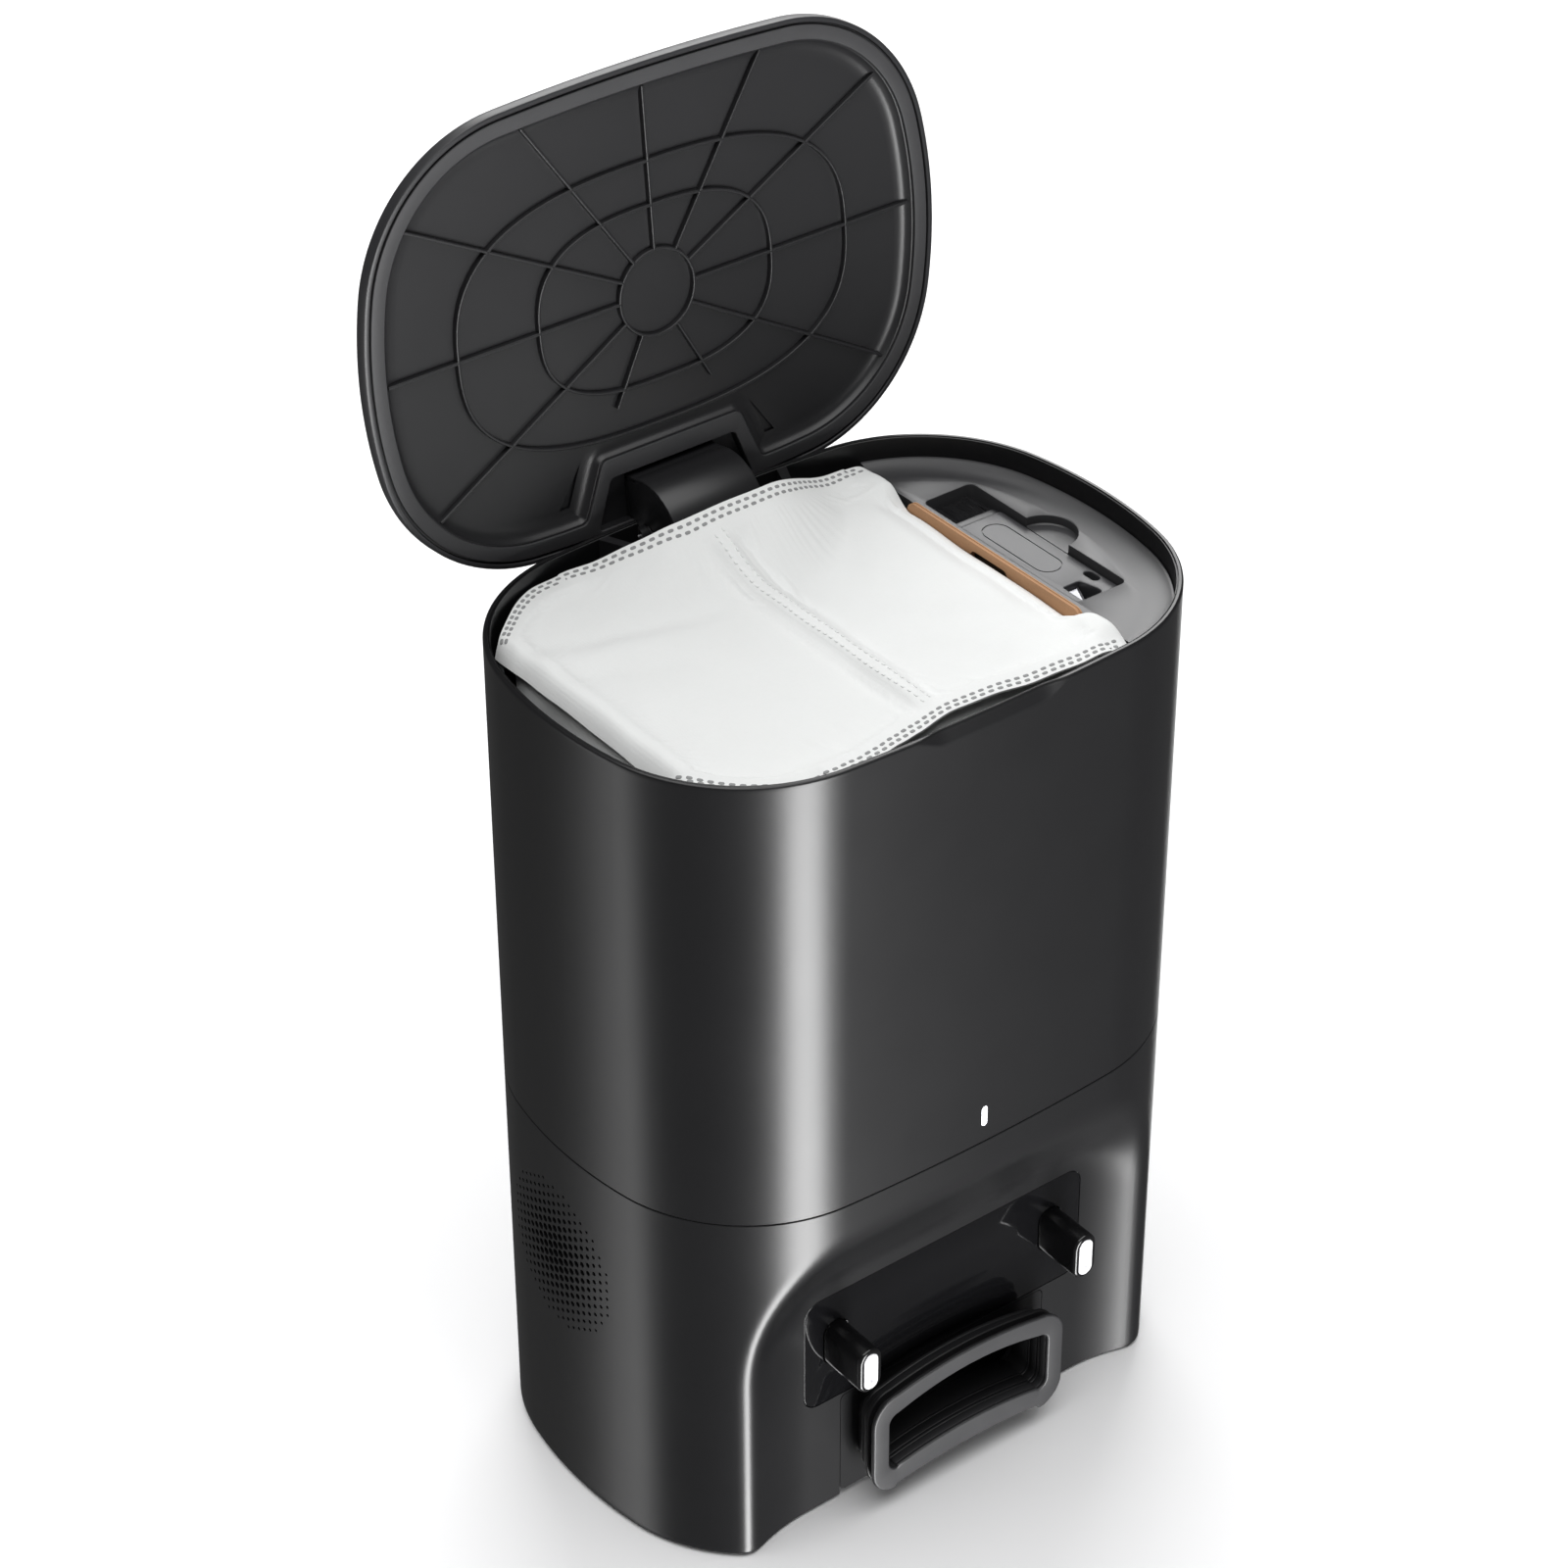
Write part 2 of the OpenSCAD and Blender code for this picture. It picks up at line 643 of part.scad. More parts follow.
module control_board() {
    color("#1f5a38") difference() {
        block(board_x0, board_x0 + 52, board_y, board_y + 1.6, 50, 126);
        for (x = [board_x0 + 4, board_x0 + 48], z = [54, 122])
            translate([x, board_y + 3, z]) rotate([90, 0, 0]) cylinder(r = 1.6, h = 5);
    }
    color("#2d2d30") block(board_x0 + 6, board_x0 + 24, board_y - 16, board_y - eps, 60, 80);
    color("#2d2d30") translate([board_x0 + 38, board_y - eps, 72]) rotate([90, 0, 0])
        cylinder(r = 8, h = 18);
    color("#3b4a66") block(board_x0 + 8, board_x0 + 22, board_y - 12, board_y - eps, 92, 112);
    color("#d8d8d8") block(board_x0 + 30, board_x0 + 46, board_y - 9, board_y - eps, 98, 108);
}
inlet_face = half_d - 2.6;
module power_inlet() {
    color("#101012") translate([inlet_x, 0, inlet_z]) difference() {
        union() {
            upright(inlet_face - 16, inlet_face)
                polygon(rrect(-inlet_w / 2, -inlet_h / 2, inlet_w / 2, inlet_h / 2, 4));
            upright(inlet_face - 16, inlet_face - wall - 3) polygon(rrect(-inlet_w / 2 - 2,
                -inlet_h / 2 - 2, inlet_w / 2 + 2, inlet_h / 2 + 2, 4));
        }
        upright(inlet_face - 12, inlet_face + 1) polygon(rrect(-8.5, -4.6, 8.5, 4.6, 4.5));
    }
    color("#c8c8cc") for (s = [-1, 1])
        translate([inlet_x + s * 4, inlet_face - 3, inlet_z]) rotate([90, 0, 0])
            cylinder(r = 1.2, h = 10);
}

// ---- Upper casing ---------------------------------------------------------------
hinge_y = half_d - hinge_inset;
hinge_z = body_h - hinge_drop;
rear_gap_hw = 50.5;
rear_gap_z = body_h - 17;
grip_hw = 34;
grip_h = 6.5;
grip_d = 1.9;
led_z = base_h + 14;
led_w = 3;
led_h = 10.2;
module upper_casing() {
    color("#1f1f22") difference() {
        oval_solid(0, base_h + 0.5, body_h);
        oval_solid(wall, base_h - 1, body_h + 1);
        block(-rear_gap_hw, rear_gap_hw, half_d - 12, half_d + 5, rear_gap_z, body_h + 1);
        sideways(-grip_hw, grip_hw) polygon([[-half_d - 1, body_h - grip_h],
            [-half_d, body_h - grip_h], [-half_d + grip_d, body_h - 1],
            [-half_d + grip_d, body_h + 1], [-half_d - 1, body_h + 1]]);
        translate([0, 0, led_z]) upright(-half_d - 2, -half_d + wall + 2)
            polygon(stadium(led_w + 0.2, led_h + 0.2));
    }
}
module status_light() {
    color("#ffffff") translate([0, 0, led_z]) {
        upright(-half_d - 0.05, -half_d + wall + 0.4) polygon(stadium(led_w, led_h));
        difference() {
            upright(-half_d + wall + 0.3, -half_d + wall + 1.6)
                polygon(stadium(led_w + 3, led_h + 3));
            block(-2, 2, -half_d + wall + 0.8, -half_d + wall + 2, -1.8, 1.8);
        }
    }
}
module light_board() {
    color("#1f5a38") block(-12, 12, -half_d + wall + 1.8, -half_d + wall + 2.6, led_z - 7, led_z + 9);
    color("#f4f1d8") block(-1.6, 1.6, -half_d + wall + 1, -half_d + wall + 1.8 + eps,
        led_z - 1.4, led_z + 1.4);
}

// ---- Hinge housing: a well behind the chamber that the lid's arm swings in -------
well_front = half_d - 32;
well_back = half_d - wall - 0.4;
well_hw0 = 33;
well_hw1 = 47;
well_t = 2.4;
well_z0 = hinge_z - arm_shell_r - 5;
well_top = body_h - 0.3;
cheek_x = hinge_arm_w / 2 + 0.5;
cheek_t = 4;
knuckle_r = pin_r + 2.2;
function well(t) = [[-well_hw0 - t, well_front - t], [well_hw0 + t, well_front - t],
    [well_hw1 + t * 1.2, well_back], [-well_hw1 - t * 1.2, well_back]];
module along_x(x0, x1) {
    translate([x0, hinge_y, hinge_z]) rotate([0, 90, 0]) linear_extrude(x1 - x0) children();
}
module hinge_housing() {
    color("#19191b") difference() {
        intersection() {
            translate([0, 0, well_z0]) linear_extrude(well_top - well_z0) polygon(well(well_t));
            oval_solid(wall + 0.2, well_z0 - 1, well_top + 1);
        }
        translate([0, 0, well_z0 + well_t]) linear_extrude(well_top)
            polygon(concat([for (i = [0:1]) well(0)[i]], [[well_hw1, well_back + 5],
                [-well_hw1, well_back + 5]]));
    }
    color("#19191b") for (s = [-1, 1]) difference() {
        union() {
            along_x(s > 0 ? cheek_x : -cheek_x - cheek_t, s > 0 ? cheek_x + cheek_t : -cheek_x)
                circle(r = knuckle_r);
            sideways(s > 0 ? cheek_x : -cheek_x - cheek_t, s > 0 ? cheek_x + cheek_t : -cheek_x)
                polygon([[hinge_y - 16, well_z0 + 1], [well_back - 0.2, well_z0 + 1],
                    [well_back - 0.2, rear_gap_z], [hinge_y + 1, hinge_z - knuckle_r + 0.4],
                    [hinge_y, hinge_z], [hinge_y - knuckle_r + 0.2, hinge_z]]);
        }
        along_x(-60, 60) circle(r = pin_r + 0.02);
    }
}
module hinge_pin() {
    color("#c4c5c9") along_x(-cheek_x - cheek_t - 1, cheek_x + cheek_t + 1) circle(r = pin_r);
}
module hinge_spring() {
    length = hinge_arm_w - 12;
    color("#9fa0a4") translate([-length / 2, hinge_y, hinge_z]) rotate([0, 90, 0])
        coil(pin_r + 0.9, 0.5, 12, length);
}
hinge_screw_at = [[-24, well_z0 + 14], [24, well_z0 + 14]];
module hinge_screws() {
    color("#9a9a9e") for (p = hinge_screw_at) translate([p[0], well_front + 0.1, p[1]])
        rotate([-90, 0, 0]) cylinder(r = 3, h = 2);
}

// ---- Bag chamber ----------------------------------------------------------------
chamber_in = 6;
chamber_t = 2;
chamber_top = body_h - deck_drop - deck_t - 0.2;
chamber_right = collar_x + collar_t + 2.6;
filter_r = 40;
module chamber_plan(t) {
    intersection() {
        polygon(oval(chamber_in + t));
        translate([-half_w, -half_d]) square([half_w + chamber_right - t, body_d]);
    }
}
module bag_chamber() {
    color("#26282a") difference() {
        translate([0, 0, chamber_z0]) linear_extrude(chamber_top - chamber_z0) chamber_plan(0);
        translate([0, 0, chamber_z0 + chamber_t]) linear_extrude(body_h) chamber_plan(chamber_t);
        translate([0, 0, well_z0 - 1]) linear_extrude(body_h)
            polygon([[-well_hw0 - 6, well_front - 4], [well_hw0 + 6, well_front - 4],
                [well_hw1 + 9, half_d], [-well_hw1 - 9, half_d]]);
        at_motor(chamber_z0 - 1) cylinder(r = filter_r - 4, h = chamber_t + 2);
        translate([chamber_right - 5, collar_y, collar_z]) rotate([0, 90, 0])
            cylinder(r = collar_bore + 8, h = 10);
    }
}
module chamber_filter() {
    color("#5b5d60") at_motor(chamber_z0 + chamber_t + 0.1) difference() {
        cylinder(r = filter_r, h = 5);
        for (a = [0:30:330], k = [1:3]) rotate([0, 0, a + 10 * k])
            translate([k * 10 + 2, 0, 2]) cylinder(r = 3, h = 5);
    }
}
guide_gap = 0.4;
module collar_guides() {
    x0 = collar_x - 2.4;
    x1 = chamber_right - chamber_t - 0.1;
    edge = collar_w / 2;
    color("#2b2d30") for (s = [-1, 1]) difference() {
        block(x0, x1, collar_y + min(s * (edge - 3), s * (edge + 3)),
            collar_y + max(s * (edge - 3), s * (edge + 3)),
            collar_top - collar_h - 3, collar_top - 12);
        block(collar_x - guide_gap, collar_x + collar_t + guide_gap,
            collar_y - edge - guide_gap, collar_y + edge + guide_gap,
            collar_top - collar_h - 0.2, body_h);
    }
}
module inlet_seal() {
    color("#3a3a3e") translate([collar_x + collar_t + 0.4, collar_y, collar_z])
        rotate([0, 90, 0]) tube(collar_bore, collar_bore + 6, elbow_x - collar_x - collar_t - 0.6);
}

// ---- Dust bag -------------------------------------------------------------------
bag_front = half_d - 19;
bag_gap = 4;
bag_z0 = chamber_z0 + chamber_t + 9;
bag_z1 = body_h - bag_drop;
bag_right = collar_x - 2.3;
// One thin slice of the bag's plan at height z, moved inwards by t
module bag_slice(z, t) {
    translate([0, 0, z]) linear_extrude(0.5) intersection() {
        polygon(oval(chamber_in + chamber_t + bag_gap + t));
        translate([-bag_left + t, -bag_front + t])
            square([bag_left + bag_right - 2 * t,
                2 * bag_front + 8 - 2 * t]);
    }
}
module dust_bag() {
    color("#f3f4f1") difference() {
        hull() {
            bag_slice(bag_z0, 14);
            bag_slice(bag_z0 + 5, 5);
            bag_slice(bag_z0 + 16, 0);
            bag_slice(bag_z1 - 12, 0);
            bag_slice(bag_z1 - 4, 3);
            bag_slice(bag_z1 - 0.5, 9);
        }
        translate([0, 0, bag_z0 - 1]) linear_extrude(bag_z1 - bag_z0 + 2) {
            polygon([[-well_hw0 - 8, well_front - 8], [well_hw0 + 8, well_front - 8],
                [well_hw1 + 14, half_d], [-well_hw1 - 14, half_d]]);
            for (s = [-1, 1]) translate([collar_x - 5, collar_y + s * collar_w / 2])
                square([20, 12], center = true);
        }
    }
}
module bag_collar() {
    color("#a5754a") difference() {
        sideways(collar_x, collar_x + collar_t) polygon(rrect(collar_y - collar_w / 2,
            collar_top - collar_h, collar_y + collar_w / 2, collar_top, 4));
        translate([collar_x - 1, collar_y, collar_z]) rotate([0, 90, 0])
            cylinder(r = collar_bore, h = collar_t + 2);
        sideways(collar_x - 1, collar_x + collar_t + 1)
            polygon(rrect(collar_y - 10, collar_top - 10, collar_y + 14, collar_top - 4, 2.9));
    }
}
module collar_gasket() {
    color("#7e8fa0") translate([collar_x - 2.2, collar_y, collar_z])
        rotate([0, 90, 0]) tube(collar_bore - 4, collar_bore + 5, 2);
}

// ---- Tool deck ------------------------------------------------------------------
deck_z = body_h - deck_drop;
pocket_d = 12;
pocket_t = 1.5;
tool_y = 4;
finger_r = 13;
deck_x0 = collar_x + collar_t + 0.6;
function pocket(grow) = rrect(tool_x - tool_w / 2 - grow, tool_y - tool_l / 2 - grow,
    tool_x + tool_w / 2 + grow, tool_y + tool_l / 2 + grow, 1.5 + grow);
finger_d = 4.6;
module pocket_space(grow, top) {
    translate([0, 0, deck_z - pocket_d - grow])
        linear_extrude(pocket_d + grow + top) polygon(pocket(tool_gap + grow));
    translate([tool_x + tool_w / 2, tool_y, deck_z - finger_d - grow])
        cylinder(r = finger_r + tool_gap + grow, h = finger_d + grow + top);
}
module tool_deck() {
    color("#2a2a2d") difference() {
        union() {
            intersection() {
                oval_solid(wall + fit, deck_z - deck_t, deck_z);
                block(deck_x0, half_w, -half_d, half_d, 0, body_h);
            }
            difference() {
                intersection() {
                    oval_solid(wall + fit, deck_z - deck_t, deck_z + 3);
                    block(deck_x0, half_w, -half_d, half_d, 0, body_h);
                }
                oval_solid(wall + fit + 2.2, deck_z - deck_t - 1, deck_z + 4);
            }
            pocket_space(pocket_t, -0.5);
        }
        pocket_space(0, 5);
    }
}
tool_z0 = deck_z - pocket_d + 0.2;
tool_z1 = tool_z0 + tool_t;
brush_l = 20;
blade_l = 16;
tool_y1 = tool_y + tool_l / 2;
tool_y0 = tool_y - tool_l / 2;
module tool_handle() {
    body_y0 = tool_y0 + blade_l;
    body_y1 = tool_y1 - brush_l;
    color("#232326") {
        difference() {
            translate([0, 0, tool_z0]) linear_extrude(tool_t) union() {
                polygon(rrect(tool_x - tool_w / 2, body_y0, tool_x + tool_w / 2, body_y1, 2));
                polygon(rrect(tool_x - tool_w / 2, tool_y0, tool_x - tool_w / 2 + 6, body_y0 + 6, 2));
                polygon(rrect(tool_x + tool_w / 2 - 7, tool_y0, tool_x + tool_w / 2, body_y0 + 6, 2));
                polygon(rrect(tool_x - tool_w / 2, tool_y0, tool_x + tool_w / 2, tool_y0 + 4, 1.9));
            }
            translate([tool_x, tool_y, tool_z1 - 0.5]) linear_extrude(1) difference() {
                polygon(stadium(13, 46));
                polygon(stadium(12, 45));
            }
            translate([0, 0, tool_z0 - 1]) linear_extrude(tool_t + 2)
                polygon(rrect(tool_x + tool_w / 2 - 5.4, body_y0 - 4, tool_x + tool_w / 2 - 1.6,
                    body_y0 + 4, 1.8));
        }
    }
}
module tool_bristles() {
    rows = 4;
    columns = 9;
    y0 = tool_y1 - brush_l;
    color("#0e0e10") {
        block(tool_x - tool_w / 2 + 1, tool_x + tool_w / 2 - 1, y0 + 0.1, y0 + 4,
            tool_z0 + 0.5, tool_z1 - 0.5);
        for (i = [0:columns - 1], j = [0:rows - 1])
            translate([tool_x + (i - (columns - 1) / 2) * 2.5, y0 + 3.9,
                tool_z0 + 1.6 + j * (tool_t - 3.2) / (rows - 1)])
                rotate([-90, 0, 0]) cylinder(r = 0.65, h = brush_l - 5, $fn = 8);
    }
}
module tool_blade() {
    x0 = tool_x - tool_w / 2 + 6.2;
    color("#c7c8cc") translate([0, 0, tool_z0 + tool_t / 2 - 0.4]) linear_extrude(0.8)
        polygon([[x0, tool_y0 + 4.2], [x0 + 3, tool_y0 + 4.2], [x0 + 8, tool_y0 + blade_l - 0.2],
            [x0, tool_y0 + blade_l - 0.2]]);
}

// ---- Lid: drawn closed, then swung open about the hinge line ---------------------
lid_z0 = body_h + 0.5;
lid_z1 = body_h + lid_h;
lid_skin = 2;
lid_round = 4;
seal_t = 1.5;
seal_in = 3;
band_w = 7;
panel_z = lid_z1 - lid_skin - 0.2;
panel_t = 1.5;
module swing() {
    translate([0, hinge_y, hinge_z]) rotate([-lid_open, 0, 0])
        translate([0, -hinge_y, -hinge_z]) children();
}
module lid_shell() {
    color("#222225") swing() difference() {
        hull() {
            oval_solid(0, lid_z0, lid_z1 - lid_round);
            oval_solid(lid_round * (1 - cos(45)), lid_z1 - lid_round,
                lid_z1 - lid_round * (1 - sin(45)));
            oval_solid(lid_round, lid_z1 - 1, lid_z1);
        }
        oval_solid(2.2, lid_z0 - 1, lid_z1 - lid_skin);
    }
}
// Edge of the hinge bay in the lid's inner panel; t moves it outwards
frame_in = [32.5, 44.5];
frame_front = half_d - 28;
function bay(t) = [[-frame_in[0] - t * 0.4, frame_front - t], [frame_in[0] + t * 0.4, frame_front - t],
    [frame_in[1] + t * 0.9, half_d + 5], [-frame_in[1] - t * 0.9, half_d + 5]];
module lid_ring(outer, inner, z0, z1) {
    difference() {
        translate([0, 0, z0]) linear_extrude(z1 - z0) difference() {
            polygon(oval(outer));
            difference() {
                polygon(oval(inner));
                polygon(bay(9));
            }
            polygon(bay(0));
        }
    }
}
function squircle(hw, hd, p, n) = [for (i = [0:n - 1]) let (a = 360 * i / n, c = cos(a), s = sin(a))
    [hw * sign(c) * pow(abs(c), 2 / p), hd * sign(s) * pow(abs(s), 2 / p)]];
module rib_ring(hw, hd, p) {
    difference() {
        polygon(squircle(hw + rib_t / 2, hd + rib_t / 2, p, 72));
        polygon(squircle(hw - rib_t / 2, hd - rib_t / 2, p, 72));
    }
}
ring_inner = [59.5, 39];
ring_outer = [99.5, 58.5];
ring_power = 2.7;
spoke_a = [0, 33.7, 62, 90, 120, 152];
module spokes() {
    for (s = [-1, 1], a = spoke_a) if (s > 0 || a > 0)
        rotate([0, 0, -90 + s * a]) translate([hub_r - 0.2, -rib_t / 2])
            square([a < 150 ? half_w : norm([27, 52]) - hub_r + 8, rib_t]);
    translate([-rib_t / 2, ring_outer[1]]) square([rib_t, 14]);
}
module lid_panel() {
    color("#1b1b1e") swing() {
        difference() {
            oval_solid(2.2 + fit, panel_z - panel_t, panel_z);
            translate([0, 0, lid_z0]) linear_extrude(lid_h) polygon(
                [[-frame_in[1], half_d - 6], [frame_in[1], half_d - 6],
                [frame_in[1], half_d + 5], [-frame_in[1], half_d + 5]]);
        }
        lid_ring(seal_in, seal_in + band_w, lid_z0 + seal_t, panel_z - panel_t + eps);
        translate([0, 0, panel_z - panel_t - rib_h]) linear_extrude(rib_h + eps) {
            difference() {
                union() {
                    rib_ring(hub_r, hub_r, 2);
                    rib_ring(ring_inner[0], ring_inner[1], ring_power);
                    rib_ring(ring_outer[0], ring_outer[1], ring_power);
                    intersection() {
                        spokes();
                        polygon(oval(seal_in + band_w - 1));
                    }
                }
                polygon(bay(8));
            }
        }
    }
}
module lid_seal() {
    color("#4a4a4f") swing() lid_ring(seal_in + 0.3, seal_in + band_w - 0.3,
        lid_z0, lid_z0 + seal_t - 0.05);
}
arm_a0 = 160;
arm_a1 = 262;
arm_shell_t = 2;
module lid_arm() {
    hw = hinge_arm_w / 2;
    pad_z = panel_z - panel_t - 0.05;
    color("#1a1a1c") swing() {
        sideways(-hw, hw) translate([hinge_y, hinge_z]) polygon(concat(
            arc([0, 0], arm_shell_r, arm_a0, arm_a1, 16),
            reverse(arc([0, 0], arm_shell_r - arm_shell_t, arm_a0, arm_a1, 16))));
        block(-hw, hw, hinge_y - arm_shell_r * 0.96, hinge_y - arm_shell_r * 0.96 + 2.6,
            hinge_z + arm_shell_r * 0.26, pad_z);
        block(-hw, hw, hinge_y - arm_shell_r * 0.96, hinge_y - 5, pad_z - 2, pad_z);
        for (s = [-1, 1]) difference() {
            union() {
                sideways(min(s * hw, s * (hw - 3)), max(s * hw, s * (hw - 3))) polygon(concat(
                    arc([hinge_y, hinge_z], arm_shell_r - 0.5, arm_a0, arm_a1, 16),
                    [[hinge_y - 2.6, hinge_z - 7], [hinge_y, hinge_z], [hinge_y - 5, pad_z],
                    [hinge_y - arm_shell_r * 0.96, pad_z]]));
                along_x(min(s * hw, s * (hw - 5)), max(s * hw, s * (hw - 5))) circle(r = knuckle_r);
            }
            along_x(-60, 60) circle(r = pin_r + pin_gap);
        }
    }
}

base_shell();
base_plate();
rubber_feet();
base_screws();
gloss_panel();
contact_guide();
contact_arm(-1);  // contact_arm_left
contact_arm(1);  // contact_arm_right
contact_plate(-1);  // contact_plate_left
contact_plate(1);  // contact_plate_right
contact_spring(-1);  // contact_spring_left
contact_spring(1);  // contact_spring_right
port_cover();
port_horn();
port_lip();
suction_duct();
duct_seal();
riser_duct();
riser_elbow();
inlet_seal();
motor_housing();
motor_can();
motor_shaft();
impeller();
bearing(can_z1 - bearing_h - 1);  // upper_bearing
bearing(can_z0);  // lower_bearing
motor_mounts();
fan_diffuser();
fan_cover();
fan_seal();
exhaust_filter();
filter_frame();
control_board();
power_inlet();
upper_casing();
bag_chamber();
chamber_filter();
collar_guides();
status_light();
light_board();
tool_deck();
tool_handle();
tool_bristles();
tool_blade();
dust_bag();
bag_collar();
collar_gasket();
hinge_housing();
hinge_pin();
hinge_spring();
hinge_screws();
lid_shell();
lid_panel();
lid_seal();
lid_arm();
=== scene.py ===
"""Looks of a robot vacuum's self-emptying station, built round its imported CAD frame.

Lengths inside this file are millimetres until a mesh is made; Blender gets metres.
"""
import json
import logging
import math
from dataclasses import dataclass
from enum import Enum
from typing import Callable, Iterable, Sequence

import bpy
import numpy as np
from mathutils import Matrix, Vector
from mathutils.geometry import delaunay_2d_cdt


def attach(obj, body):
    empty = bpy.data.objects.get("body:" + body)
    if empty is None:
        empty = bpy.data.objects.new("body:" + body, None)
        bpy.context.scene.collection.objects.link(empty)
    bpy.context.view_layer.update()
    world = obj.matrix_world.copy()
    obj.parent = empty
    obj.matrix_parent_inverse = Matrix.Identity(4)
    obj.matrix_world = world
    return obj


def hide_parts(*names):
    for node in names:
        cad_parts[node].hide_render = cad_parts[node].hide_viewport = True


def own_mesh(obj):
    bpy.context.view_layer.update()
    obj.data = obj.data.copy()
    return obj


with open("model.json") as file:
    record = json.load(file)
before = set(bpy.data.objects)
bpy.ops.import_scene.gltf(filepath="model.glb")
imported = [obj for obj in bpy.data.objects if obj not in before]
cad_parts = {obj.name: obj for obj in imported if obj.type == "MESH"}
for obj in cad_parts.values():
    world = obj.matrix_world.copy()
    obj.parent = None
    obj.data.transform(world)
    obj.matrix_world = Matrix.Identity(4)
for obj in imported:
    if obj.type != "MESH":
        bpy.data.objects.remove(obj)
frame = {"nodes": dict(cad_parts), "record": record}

log = logging.getLogger("station")
MM = 0.001
Loop = np.ndarray
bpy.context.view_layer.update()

# Measures that several classes share.
PANEL_Y = -78.8
CONTACT_PITCH, CONTACT_Z = 121.4, 94.0
TOOL_BOX = (91.5, -46.0, 116.5, 54.0)
CASING_PITCH = 2.7


# ---- Node trees ------------------------------------------------------------------
class Value:
    """A node socket that takes part in Python arithmetic."""

    def __init__(self, tree: "Tree", socket: bpy.types.NodeSocket) -> None:
        """Wraps an output socket of a tree."""
        self.tree, self.socket = tree, socket

    def _math(self, operation: str, *parts: object) -> "Value":
        """Adds the Math node that works an operation on the parts."""
        return self.tree.math(operation, *parts)

    def __add__(self, other: object) -> "Value":
        """Sum."""
        return self._math("ADD", self, other)

    __radd__ = __add__

    def __sub__(self, other: object) -> "Value":
        """Difference."""
        return self._math("SUBTRACT", self, other)

    def __rsub__(self, other: object) -> "Value":
        """Difference from a plain number."""
        return self._math("SUBTRACT", other, self)

    def __mul__(self, other: object) -> "Value":
        """Product."""
        return self._math("MULTIPLY", self, other)

    __rmul__ = __mul__

    def __truediv__(self, other: object) -> "Value":
        """Quotient."""
        return self._math("DIVIDE", self, other)

    def __rtruediv__(self, other: object) -> "Value":
        """A plain number divided by this."""
        return self._math("DIVIDE", other, self)

    def __pow__(self, other: object) -> "Value":
        """Power."""
        return self._math("POWER", self, other)

    def __lt__(self, other: object) -> "Value":
        """1 where this is less, else 0."""
        return self._math("LESS_THAN", self, other)

    def __gt__(self, other: object) -> "Value":
        """1 where this is greater, else 0."""
        return self._math("GREATER_THAN", self, other)


class Tree:
    """Builds the nodes of one shader or geometry tree."""

    math_kind = "ShaderNodeMath"

    def __init__(self, tree: bpy.types.NodeTree) -> None:
        """Takes an empty tree."""
        self.tree = tree

    def node(self, kind: str, settings: dict | None = None, sockets: dict | None = None) -> bpy.types.Node:
        """Adds a node.

        Args:
            kind: the node's type.
            settings: properties set before the sockets; a ramp's stops go under "stops".
            sockets: values or links by socket name or number.

        Returns:
            The new node.
        """
        node = self.tree.nodes.new(kind)
        for key, value in (settings or {}).items():
            if key == "stops":
                ramp = node.color_ramp
                while len(ramp.elements) < len(value):
                    ramp.elements.new(0.5)
                for element, (at, colour) in zip(ramp.elements, value):
                    element.position, element.color = at, colour
            else:
                setattr(node, key, value)
        for key, value in (sockets or {}).items():
            self.feed(node.inputs[key], value)
        return node

    def feed(self, socket: bpy.types.NodeSocket, value: object) -> None:
        """Links a value to an input, or sets a plain one.

        Args:
            socket: the input.
            value: a Value, an output socket or a plain setting.
        """
        if isinstance(value, Value):
            self.tree.links.new(value.socket, socket)
        elif isinstance(value, bpy.types.NodeSocket):
            self.tree.links.new(value, socket)
        else:
            socket.default_value = value

    def out(self, kind: str, settings: dict | None = None, sockets: dict | None = None,
        output: object = 0) -> Value:
        """Adds a node and returns one of its outputs as a Value."""
        return Value(self, self.node(kind, settings, sockets).outputs[output])

    def math(self, operation: str, *parts: object) -> Value:
        """Adds one Math node."""
        return self.out(self.math_kind, {"operation": operation}, dict(enumerate(parts)))


